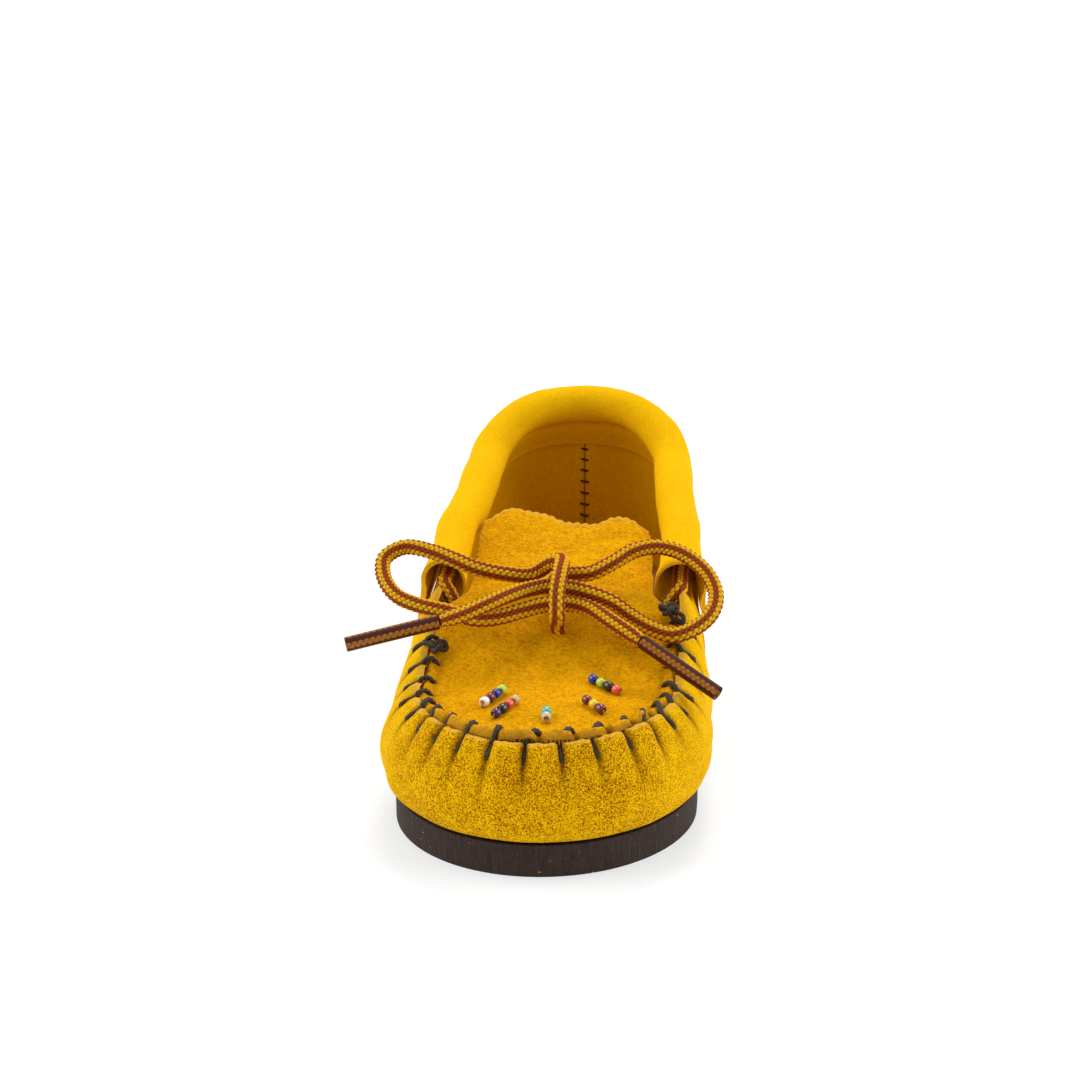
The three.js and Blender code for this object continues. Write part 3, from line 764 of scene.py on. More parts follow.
@dataclass(frozen=True)
class Yarn:
    """Round braid of two colours; the pattern's v counts bumps and u goes once round."""

    name: str
    gold: Colour = linear(250, 190, 12)
    rust: Colour = linear(168, 72, 10)
    coat: float = 0.0
    rough: float = 0.7
    depth: float = 0.12

    def make(self) -> bpy.types.Material:
        """Build the finish."""
        r = Recipe(self.name)
        pattern = r.place("UV")
        parts = r.tree.nodes.new("ShaderNodeSeparateXYZ")
        r.join(pattern, parts.inputs[0])
        u, v = parts.outputs[0], parts.outputs[1]
        column = r.sum("MULTIPLY", u, float(BRAID_COLUMNS))
        beat = r.sum("COSINE", r.sum("MULTIPLY", v, 2 * math.pi))
        sway = r.sum("MULTIPLY", r.sum("COSINE", r.sum("MULTIPLY", column, math.pi)), beat)
        at = r.sum("SUBTRACT", column, r.sum("MULTIPLY", sway, BRAID_SWAY))
        pair = r.sum("MODULO", r.sum("FLOOR", r.sum("MULTIPLY", at, 0.5)), 2.0)
        hairs = r.noise(r.place(), 0.24, 3.0, 0.7)
        shade = r.spread(hairs, 0.3, 0.66, 0.62, 1.05)
        colour = r.mix(pair, self.gold, self.rust)
        across = r.sum("SUBTRACT", r.sum("FRACT", at), 0.5)
        # painted shade: darker in the grooves between columns and in the dips between bumps
        groove = r.sum("ABSOLUTE", across)
        shade = r.sum("MULTIPLY", shade, r.spread(groove, 0.3, 0.5, 1.0, 0.5))
        parity = r.sum("MODULO", r.sum("FLOOR", at), 2.0)
        odd = r.sum("SUBTRACT", 1.0, r.sum("MULTIPLY", parity, 2.0))
        along_bump = r.sum("ADD", v, r.sum("MULTIPLY", across, 2 * BRAID_LEAN))
        swell = r.sum("MULTIPLY", odd, r.sum("COSINE", r.sum("MULTIPLY", along_bump, 2 * math.pi)))
        shade = r.sum("MULTIPLY", shade, r.spread(swell, 0.45, 1.0, 1.0, 0.42))
        grey = r.tree.nodes.new("ShaderNodeCombineColor")
        for socket in grey.inputs:
            r.join(shade, socket)
        colour = r.mix(1.0, colour, grey.outputs[0], "MULTIPLY")
        r.bump(hairs, self.depth, 0.7)
        r.set(Base_Color=colour, Roughness=self.rough, Specular_IOR_Level=0.15)
        r.set(Sheen_Weight=0.0 if self.coat else 0.04, Sheen_Roughness=0.4)
        r.set(Coat_Weight=self.coat, Coat_Roughness=0.08, Coat_IOR=1.4)
        return r.material


@dataclass(frozen=True)
class Glass:
    """Glass of a seed bead."""

    name: str
    colour: Colour
    lustre: float = 0.0
    clear: float = 0.0

    def make(self) -> bpy.types.Material:
        """Build the finish."""
        r = Recipe(self.name)
        swirl = r.noise(r.place(), 0.9, 2.0, 0.5)
        dark = tuple(channel * 0.85 for channel in self.colour)
        colour = r.mix(r.spread(swirl, 0.35, 0.65), dark, self.colour)
        r.set(Base_Color=colour, Roughness=0.25)
        r.set(Metallic=self.lustre, Transmission_Weight=self.clear, IOR=1.52)
        r.set(Coat_Weight=0.6, Coat_Roughness=0.05, Coat_IOR=1.5)
        return r.material


@dataclass(frozen=True)
class Plain:
    """Simple grained finish for the hidden layers."""

    name: str
    colour: Colour
    size: float
    depth: float
    rough: float = 0.9

    def make(self) -> bpy.types.Material:
        """Build the finish."""
        r = Recipe(self.name)
        grain = r.noise(r.place(), self.size, 4.0, 0.65)
        dark = tuple(channel * 0.6 for channel in self.colour)
        colour = r.mix(r.spread(grain, 0.35, 0.65), dark, self.colour)
        r.set(Base_Color=colour, Roughness=self.rough)
        r.bump(grain, self.depth, 0.8)
        return r.material


def dress(piece: bpy.types.Object, slot: str, *finishes: bpy.types.Material) -> None:
    """Give a piece its finishes.

    Args:
        piece: The piece.
        slot: Material slot named in the record; not used.
        finishes: Materials in the order of the mesh's slots.
    """
    piece.data.materials.clear()
    for finish in finishes:
        piece.data.materials.append(finish)


def mount(piece: bpy.types.Object, body: Body, stands_for: str) -> None:
    """Let a piece ride on a body, in place of the CAD node it stands for."""
    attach(piece, body.value)
    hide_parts(stands_for)
    log.info("%s: %d faces", piece.name, len(piece.data.polygons))


# ---- Lace ----


@dataclass(frozen=True)
class Braid:
    """Round braided lace: sixteen columns of bumps in two colours."""

    diameter: float = 3.6
    bump: float = 1.3
    relief: float = 0.56
    free_sides: int = 64
    held_sides: int = 48

    def radii(self, run: np.ndarray, sides: int, size: np.ndarray) -> np.ndarray:
        """Distance of the surface from the braid's middle.

        Args:
            run: Length along the braid at each ring.
            sides: Points in a ring.
            size: Share of the full thickness at each ring.

        Returns:
            Radii as rings by points.
        """
        beat = (run / self.bump)[:, None]
        column = (np.arange(sides) / sides * BRAID_COLUMNS)[None, :]
        at = column - BRAID_SWAY * np.cos(np.pi * column) * np.cos(2 * np.pi * beat)
        across = 2 * (at - np.floor(at)) - 1
        sign = np.where(np.floor(at) % 2 == 0, 1.0, -1.0)
        swell = 0.5 - 0.5 * sign * np.cos(2 * np.pi * (beat + BRAID_LEAN * across))
        hump = np.sqrt(1 - 0.92 * across**2) * (0.2 + 0.8 * swell**0.6)
        radius = self.diameter / 2 - self.relief + self.relief * hump
        return radius * size[:, None]

    def draw(self, name: str, line: np.ndarray, taper: float, twist: float,
             sides: int) -> bpy.types.Object:
        """Make a length of lace along a line, its pattern starting on top.

        Args:
            name: Name of the piece.
            line: Evenly spaced points.
            taper: Share of the thickness at the line's start, inside an aglet.
            twist: Whole turns that the pattern makes over the length.
            sides: Points in a ring.

        Returns:
            The new piece.
        """
        run = np.concatenate([[0], np.cumsum(np.linalg.norm(np.diff(line, axis=0), axis=1))])
        size = taper + (1 - taper) * smooth((run - 0.4) / 2.2)
        pattern = Pattern()
        turns = twist * run / run[-1]
        radii = self.radii(run, sides, size)
        tube(pattern, line, radii, np.array([0.0, 0.0, 1.0]), turns, run / self.bump)
        piece = pattern.make(name, True)
        soften(piece, 80)
        return piece


@dataclass
class Laces:
    """The lace: two free ends tied in a bow, and the stretch held by the plug and the collar."""

    braid: Braid = field(default_factory=Braid)
    step: float = 0.21
    held_step: float = 0.26
    left_route: tuple = (
        (17, -38.2, 36.7), (10.6, -33.2, 38.8), (5.5, -28.2, 39.9), (1.3, -25.9, 39.8),
        (-1.7, -25.7, 39.7), (-4.5, -26.3, 39.6), (-9.1, -29, 39.2), (-13.6, -30.9, 38.4),
        (-18.3, -31.6, 38.1), (-24.3, -29.5, 38.8), (-31.5, -27.2, 39.3), (-36.4, -24.1, 40.1),
        (-39.8, -18.7, 42.1), (-40.3, -12.9, 44.6), (-36.3, -10.4, 46.3), (-29.6, -12.7, 46.2),
        (-24.5, -15.3, 45.4), (-19.5, -17.1, 44.2), (-13.2, -17.2, 43.1), (-8, -16, 42.5),
        (-5.4, -15.2, 43.7), (-3.1, -16.6, 45.9), (-1.1, -18.5, 46.9), (-1, -24.5, 46.2),
        (-1.3, -29.6, 43.5), (-1.2, -31.5, 39.9), (-1.3, -29, 37.6),
    )
    right_route: tuple = (
        (-25.6, -38.2, 40.1), (-21.1, -36.2, 41), (-16.6, -33.5, 42.1), (-12.2, -29.4, 42.7),
        (-7.8, -24.8, 42.6), (-3.9, -22.1, 42.4), (-1.5, -21.8, 42.3), (1.5, -22.3, 42.1),
        (5.5, -24.2, 41.8), (10.3, -25.8, 40.5), (14.9, -27.3, 37.7), (19.7, -30.1, 36),
        (23.6, -31.9, 35.6), (27.8, -30.9, 36.7), (31.4, -27.6, 38.7), (32.6, -22.8, 41.2),
        (31.1, -17.8, 43.7), (28, -13.7, 45.6), (23.8, -10.8, 47), (19.2, -9.7, 47.4),
        (14.4, -10.8, 46.7), (9.9, -14, 45), (5.2, -16.1, 43.3), (1.6, -15.4, 42.7),
        (-0.6, -15, 42.4),
    )
    left_entry: tuple = (
        (-1.3, -28.5, 37.1), (-1.3, -27.4, 35.7), (-1.3, -26.9, 33.6), (-3, -26, 31.2),
    )
    right_entry: tuple = (
        (-2.1, -15.1, 41.6), (-2.8, -15.6, 40.5), (-3.2, -16.1, 39.4), (-2.9, -16.5, 36.6),
    )
    left_under: tuple = (0.36, 0.385, 0.405)
    right_under: tuple = (0.395, 0.405, 0.412)
    under_across: tuple = (0.34, 0.2, 0.08)
    mouth_steps: tuple = (
        (0.407, 7.4, -7.4), (0.413, 4.8, -6.3), (0.419, 3.2, -3.8), (0.425, 1.5, -1.3),
        (0.433, 0.2, -0.1), (0.449, 0, 0),
    )
    round_heel_from: float = 0.46
    round_heel_points: int = 23
    left_aglet: tuple = ((-25.9, -38.3, 40), (-43, -43, 36.8))
    right_aglet: tuple = ((17.2, -38.3, 36.5), (32.3, -47.7, 29.8))
    aglet_length: float = 20.0
    aglet_radius: float = 1.6
    aglet_sides: int = 40
    film: float = 0.3
    film_bevel: float = 0.12
    tip_hollow: float = 0.7
    root_hollow: float = 0.5

    def rail(self, share: float, side: Side, inward: float, up: float) -> np.ndarray:
        """Point of the tunnel's middle, moved in over the foot and up."""
        turn = LAST.turn_at(share) if side is Side.RIGHT else 1 - LAST.turn_at(share)
        edge = LAST.outward(turn)
        return LAST.tunnel(turn, 0.0, 0.0) + np.array([-edge[0] * inward, -edge[1] * inward, up])

    def to_mouth(self, side: Side, entry: tuple, under_shares: tuple) -> list[np.ndarray]:
        """Points of the lace from its hole, under the plug, to the tunnel's mouth."""
        drop = np.array([0, 0, -LAST.leather - 1 - self.braid.diameter / 2])
        under = [
            PlugShape().point(share, across if side is Side.RIGHT else 1 - across) + drop
            for share, across in zip(under_shares, self.under_across)
        ]
        mouth = [self.rail(share, side, inward, up) for share, inward, up in self.mouth_steps]
        return [np.array(point, float) for point in entry] + under + mouth

    def free_lace(self, name: str, route: tuple, twist: float) -> None:
        """Make one free end of the lace.

        Args:
            name: Name of the CAD node that the piece stands for.
            route: Control points from the aglet to the hole.
            twist: Whole turns of the pattern over the length.
        """
        line = through(route, self.step)
        piece = self.braid.draw(name + "_braid", line, 0.8, twist, self.braid.free_sides)
        dress(piece, "lace", YARN)
        mount(piece, Body.SHOE, name)
        run = float(np.linalg.norm(np.diff(line, axis=0), axis=1).sum())

    def aglet(self, name: str, ends: tuple) -> bpy.types.Object:
        """Make the rolled film on a lace's end, open at its tip with the braid's cut core inside.

        Args:
            name: Name of the CAD node that the piece stands for.
            ends: Start and direction point of the aglet.

        Returns:
            The new piece.
        """
        start, toward = (np.array(end, float) for end in ends)
        way = (toward - start) / np.linalg.norm(toward - start)
        top, middle = self.aglet_length * MM, self.aglet_length / 2 * MM
        deselect_all()
        bpy.ops.mesh.primitive_cylinder_add(
            vertices=self.aglet_sides, radius=self.aglet_radius * MM, depth=top,
            end_fill_type="NGON", location=(0, 0, middle))
        piece = bpy.context.active_object
        piece.name = name + "_film"
        settle(piece)
        bpy.ops.object.mode_set(mode="EDIT")
        mesh = bmesh.from_edit_mesh(piece.data)
        for at_tip, depth in ((True, -self.tip_hollow), (False, self.root_hollow)):
            bpy.ops.mesh.select_all(action="DESELECT")
            for face in mesh.faces:
                level = abs(face.normal.z) > 0.9 and (face.normal.z > 0) == at_tip
                if level and (face.calc_center_median().z > middle) == at_tip:
                    face.select_set(True)
            bmesh.update_edit_mesh(piece.data)
            bpy.ops.mesh.inset(thickness=self.film * MM)
            bpy.ops.transform.translate(value=(0, 0, depth * MM))
            mesh = bmesh.from_edit_mesh(piece.data)
        bpy.ops.mesh.select_all(action="DESELECT")
        rim = (self.aglet_radius - 0.05) * MM
        for edge in mesh.edges:
            ends = [v.co for v in edge.verts]
            flat = all(abs(end.z - (top if end.z > middle else 0)) < 1e-6 for end in ends)
            edge.select_set(flat and all(math.hypot(end.x, end.y) > rim for end in ends))
        bmesh.update_edit_mesh(piece.data)
        bpy.ops.mesh.bevel(offset=self.film_bevel * MM, segments=2)
        bpy.ops.mesh.select_all(action="SELECT")
        bpy.ops.mesh.normals_make_consistent(inside=False)
        bpy.ops.object.mode_set(mode="OBJECT")
        self.wrap_pattern(piece)
        turn = Vector((0, 0, 1)).rotation_difference(Vector(way)).to_matrix().to_4x4()
        piece.data.transform(Matrix.Translation(Vector(start * MM)) @ turn)
        soften(piece, 50)
        dress(piece, "lace_film", FILM, CORE)
        mount(piece, Body.SHOE, name)
        return piece

    def wrap_pattern(self, piece: bpy.types.Object) -> None:
        """Lay the braid's pattern round an upright aglet and give its hollows the core's finish."""
        layers = piece.data.uv_layers
        layer = layers[0] if layers else layers.new(name="pattern")
        layer.name = "pattern"
        piece.data.materials.append(None)
        for polygon in piece.data.polygons:
            middle = polygon.center
            around = math.atan2(middle.y, middle.x) / (2 * math.pi)
            for corner in polygon.loop_indices:
                point = piece.data.vertices[piece.data.loops[corner].vertex_index].co
                u = math.atan2(point.y, point.x) / (2 * math.pi)
                u += round(around - u)
                layer.data[corner].uv = (u + 1, point.z / MM / self.braid.bump)
            inner = math.hypot(middle.x, middle.y) < (self.aglet_radius - 0.35) * MM
            polygon.material_index = int(inner)

    def build(self) -> None:
        """Make the free ends, their aglets and the held stretch."""
        right = self.aglet("aglet_right", self.right_aglet)
        left = self.aglet("aglet_left", self.left_aglet)
        self.free_lace("lace_left", self.left_route, 0.6)
        self.free_lace("lace_right", self.right_route, -0.5)
        near = self.to_mouth(Side.RIGHT, self.right_entry, self.right_under)
        far = self.to_mouth(Side.LEFT, self.left_entry, self.left_under)
        first = LAST.turn_at(self.round_heel_from)
        turns = np.linspace(first, 1 - first, self.round_heel_points)
        middle = list(LAST.tunnel(turns, 0.0, 0.0))
        line = through(np.array(near + middle + far[::-1]), self.held_step)
        piece = self.braid.draw("lace_in_collar_braid", line, 1.0, 1.2, self.braid.held_sides)
        dress(piece, "lace", YARN)
        mount(piece, Body.SHOE, "lace_in_collar")


# ---- Toe seam ----


@dataclass(frozen=True)
class ToeSeam:
    """Where each whip stitch round the toe passes through the wall and through the plug."""

    crossings: tuple = (
        (-0.187, -0.1885), (-0.173, -0.175), (-0.157, -0.16), (-0.134, -0.14), (-0.112, -0.1195),
        (-0.0925, -0.1), (-0.0725, -0.0765), (-0.052, -0.052), (-0.029, -0.027), (-0.004, 0.006),
        (0.021, 0.034), (0.045, 0.0595), (0.07, 0.0835), (0.0915, 0.1035), (0.111, 0.1235),
        (0.131, 0.143), (0.152, 0.1605), (0.17, 0.176), (0.185, 0.189), (0.199, 0.202),
    )
    left_end: float = 0.186
    right_end: float = 0.2
    easing: float = 0.014
    measured: float = 0.3
    measured_steps: int = 1500

    def run(self, turn: np.ndarray) -> np.ndarray:
        """Length round the outline from the toe to a turn."""
        turns = np.linspace(-self.measured, self.measured, 2 * self.measured_steps + 1)
        steps = np.linalg.norm(np.diff(LAST.outline(turns), axis=0), axis=1)
        length = np.concatenate([[0], np.cumsum(steps)])
        return np.interp(turn, turns, length - length[self.measured_steps])

    def near(self, turn: np.ndarray, on_plug: bool) -> tuple[np.ndarray, np.ndarray, np.ndarray]:
        """How a place round the toe lies between its two nearest stitches.

        Args:
            turn: Turns to look at.
            on_plug: Whether the plug's ends of the stitches count, or the wall's.

        Returns:
            Distance to the nearer stitch, share of the way from one to the next, and number of
            the fold.
        """
        marks = self.run(np.array([crossing[int(on_plug)] for crossing in self.crossings]))
        at = self.run(turn)
        after = np.clip(np.searchsorted(marks, at), 1, len(marks) - 1)
        before = marks[after - 1]
        gap = marks[after] - before
        distance = np.minimum(np.abs(at - before), np.abs(marks[after] - at))
        return distance, (at - before) / gap, after

    def inside(self, turn: np.ndarray) -> np.ndarray:
        """1 where the seam is sewn, easing to 0 past its last stitches."""
        past = np.where(turn < 0, -turn - self.left_end, turn - self.right_end)
        return 1 - smooth(past / self.easing)


SEAM = ToeSeam()


# ---- Upper ----


@dataclass
class ToePiece:
    """Front wall of the upper, gathered into pleats by the toe seam, and the leather underfoot.

    A pleat swells out between two stitches and stands up at the cut edge; a stitch pulls a notch.
    """

    columns: int = 700
    rows: int = 40
    under_points: int = 144
    butt_gap: float = 0.0003
    seam_rise: float = 0.935
    pleat: float = 1.5
    notch: float = 1.9
    stand: float = 0.95
    pull_down: float = 0.9
    pleat_foot: float = 0.34
    pleat_height: float = 0.52
    crown_from: float = 0.8
    folds: int = 40
    wave_pitch: float = 11.0
    wave: float = 0.28
    edge_pitch: float = 1.7
    edge_rough: float = 0.12

    def face(self, turn: np.ndarray, rise: np.ndarray, lift: float = 0.0,
             sharp: float = 1.0) -> np.ndarray:
        """Point of the pleated wall.

        Args:
            turn: Turns, as a column or the same shape as rise.
            rise: 0 at the sole and 1 at the cut edge.
            lift: Distance off the face.
            sharp: Share of the stitches' pinch that is followed.

        Returns:
            Points as [..., x, y, z].
        """
        turn, rise = np.broadcast_arrays(np.asarray(turn, float), np.asarray(rise, float))
        sewn = SEAM.inside(turn)
        top = self.top(turn)
        distance, share, fold = SEAM.near(turn, False)
        rng = np.random.default_rng(5)
        size = rng.uniform(0.8, 1.25, self.folds)[fold]
        skew = rng.uniform(-0.25, 0.25, self.folds)[fold]
        beside = smooth((np.abs(turn) - 0.07) / 0.05)
        reach = rng.uniform(-0.06, 0.08, self.folds)[fold] + 0.2 * beside
        fade = smooth((rise - self.pleat_foot - reach) / self.pleat_height) ** 1.15 * sewn
        crown = self.crown(turn, rise)
        width = 0.8 + 1.9 * (1 - fade)
        pinch = np.exp(-((distance / width) ** 2)) * fade * sharp * (1 - 0.45 * beside)
        plateau = np.clip(1 - np.abs(2 * share - 1) ** 8, 0, 1) * (1 + skew * (2 * share - 1))
        block = plateau * fade * size * (1 - 0.4 * beside)
        points, inward = LAST.section(turn, rise * top)
        out = points[..., 0] - inward[..., 0] * lift
        up = points[..., 1] - inward[..., 1] * lift + LAST.fit
        pleated, notched = self.pleat * block, self.notch * pinch
        out = out + pleated * (0.4 + 0.6 * crown) - notched * (0.35 + 0.65 * crown)
        up = up + self.stand * crown * block - self.pull_down * crown * pinch - 0.25 * crown
        flat = LAST.place(turn, out, up)
        wall = np.sin(np.pi * np.clip(rise, 0, 1)) ** 0.7
        wave = ripple(flat, self.wave_pitch, 3) * self.wave * wall
        cut = smooth((rise - 0.9) / 0.1)
        rough = ripple(flat, self.edge_pitch, 8) * self.edge_rough * cut * sewn
        edge = LAST.outward(turn)
        flat[..., 0] += edge[..., 0] * wave
        flat[..., 1] += edge[..., 1] * wave
        flat[..., 2] += rough
        return flat

    def crown(self, turn: np.ndarray, rise: np.ndarray) -> np.ndarray:
        """How far up into the gathered edge a place is, 0 below it and 1 at the cut."""
        return smooth((rise - self.crown_from) / 0.2) * SEAM.inside(turn)

    def top(self, turn: np.ndarray) -> np.ndarray:
        """Share of the wall's height that the leather reaches, lowest at the toe."""
        return 1 - (1 - self.seam_rise) * np.exp(-((turn / 0.1) ** 2))

    def back(self, turn: np.ndarray, rise: np.ndarray) -> np.ndarray:
        """Point of the wall's inner side."""
        crown = self.crown(turn, rise)
        base = self.face(turn, rise, 0.0, 0.35)
        _, inward = LAST.section(turn, np.broadcast_to(rise * self.top(turn), base.shape[:-1]))
        way = inward * (1 - crown)[..., None] + np.array([-0.97, -0.25]) * crown[..., None]
        way /= np.linalg.norm(way, axis=-1, keepdims=True)
        edge = LAST.outward(turn)
        move = np.stack([edge[..., 0] * way[..., 0], edge[..., 1] * way[..., 0], way[..., 1]], -1)
        return base + move * LAST.leather

    def build(self) -> None:
        """Make the toe piece."""
        end = LAST.turn_at(LAST.side_seam) - self.butt_gap
        closer_on_top = 1 - (1 - np.linspace(0, 1, self.rows)) ** 1.25
        turn, rise = np.meshgrid(
            np.linspace(-end, end, self.columns), closer_on_top, indexing="ij")
        distance, _, _ = SEAM.near(turn, False)
        sewn = SEAM.inside(turn)
        marks = {
            # more dark speckle at the front of the toe: partly real nap, partly painted shade for
            # the less-lit front
            "nap_and_shade": 0.4 + 0.6 * np.exp(-((turn / 0.12) ** 4)),
            "edge": smooth((rise - 0.975) / 0.025) * 0.9,
            # painted shade in the notches that the stitches pull, high on the wall
            "crease_shade": np.exp(-((distance / 0.8) ** 2)) * smooth((rise - 0.6) / 0.3) * sewn,
        }
        pattern = sheet_of_leather(self.face(turn, rise), self.back(turn, rise), marks)
        self.underfoot(pattern)
        piece = pattern.make("toe_piece")
        soften(piece, 60)
        dress(piece, "suede", TOE_SUEDE_SHADED)
        mount(piece, Body.SHOE, "vamp")

    def underfoot(self, pattern: Pattern) -> None:
        """Add the flat leather under the foot, joined to the wall where the wall stands on it."""
        size = self.under_points
        turns = np.linspace(0, 1, size + 1)[:-1]
        joined = LAST.share_at(turns) < LAST.side_seam - 0.03
        reach = np.where(joined, -LAST.ledge + 0.1, -LAST.ledge - 1.2)
        bottom = LAST.sole + LAST.fit
        heights = (bottom, bottom + LAST.leather)
        rings = [LAST.place(turns, reach, up) for up in heights]
        hubs = np.array([[0.0, 0.0, up] for up in heights])
        at, nxt = np.arange(size), (np.arange(size) + 1) % size
        triangles = np.vstack([
            np.stack([np.full(size, 2 * size), nxt, at], 1),
            np.stack([np.full(size, 2 * size + 1), at + size, nxt + size], 1),
        ])
        marks = {name: np.full(2 * size + 2, value)
                 for name, value in (("nap_and_shade", 0.7), ("edge", 0), ("crease_shade", 0))}
        edge_faces = np.stack([at, nxt, nxt + size, at + size], 1)
        start = pattern.add(np.vstack([*rings, hubs]), edge_faces, marks)
        pattern.add_faces(triangles + start)


@dataclass
class Quarters:
    """The two rear walls of the upper: brushed outside, flesh side inside, the inside darkened with
    painted shade.
    """

    columns: int = 260
    rows: int = 40
    drop: float = 3.0
    butt_gap: float = 0.0003
    heel_gap: float = 0.00005
    wave_pitch: float = 15.0
    wave: float = 0.3

    def face(self, turn: np.ndarray, rise: np.ndarray, lift: float = 0.0) -> np.ndarray:
        """Point of the wall, with the leather's soft unevenness."""
        points = LAST.wall(turn, rise, lift)
        wall = np.sin(np.pi * np.clip(rise, 0, 1)) ** 0.6
        wave = self.wave * ripple(points, self.wave_pitch, 12) * wall
        edge = LAST.outward(turn)
        points[..., 0] += edge[..., 0] * wave
        points[..., 1] += edge[..., 1] * wave
        return points

    def build(self) -> None:
        """Make both quarters."""
        front = LAST.turn_at(LAST.side_seam) + self.butt_gap
        gap = self.heel_gap
        for side in Side:
            ends = (front, 0.5 - gap) if side is Side.RIGHT else (0.5 + gap, 1 - front)
            turns = np.linspace(*ends, self.columns)
            top = LAST.rise_at(turns, along(LAST.top_height, LAST.share_at(turns)) - self.drop)
            turn, share = np.meshgrid(turns, np.linspace(0, 1, self.rows), indexing="ij")
            rise = share * top[:, None]
            # painted shade along the closed heel seam
            heel_seam_shade = np.exp(-((np.abs(turn - 0.5) / 0.0009) ** 2))
            marks = {"nap_and_shade": np.full(turn.shape, 0.4), "edge": np.zeros(turn.shape),
                     "crease_shade": heel_seam_shade}
            inner = self.face(turn, rise, -LAST.leather)
            pattern = sheet_of_leather(self.face(turn, rise), inner, marks, 1)
            name = "quarter_" + side.name.lower()
            piece = pattern.make(name + "_leather")
            soften(piece, 60)
            dress(piece, "suede", WALL_SUEDE, FLESH_SHADED)
            mount(piece, Body.SHOE, name)


@dataclass(frozen=True)
class PlugShape:
    """Plain surface of the plug over the toes, as the CAD gives it."""

    drop: float = 1.2
    margin: Table = ((0, 1.7), (0.37, 1.7), (0.43, 6.5), (1, 6.5))
    dome: Table = ((0, 0.6), (0.15, 2.2), (0.42, 2.6), (1, 2.4))

    def point(self, share: np.ndarray, across: np.ndarray,
              margin: Table | None = None) -> np.ndarray:
        """Point of the plug's upper face; across is 0 on the +X side and 1 on the -X side."""
        share, across = np.broadcast_arrays(np.asarray(share, float), np.asarray(across, float))
        turn = np.arccos(1 - 2 * share) / (2 * np.pi)
        out = -along(LAST.top_inset, share) - along(margin or self.margin, share)
        up = along(LAST.top_height, share) - self.drop
        near, far = LAST.place(turn, out, up), LAST.place(1 - turn, out, up)
        point = near + (far - near) * across[..., None]
        point[..., 2] += along(self.dome, share) * 4 * across * (1 - across)
        return point


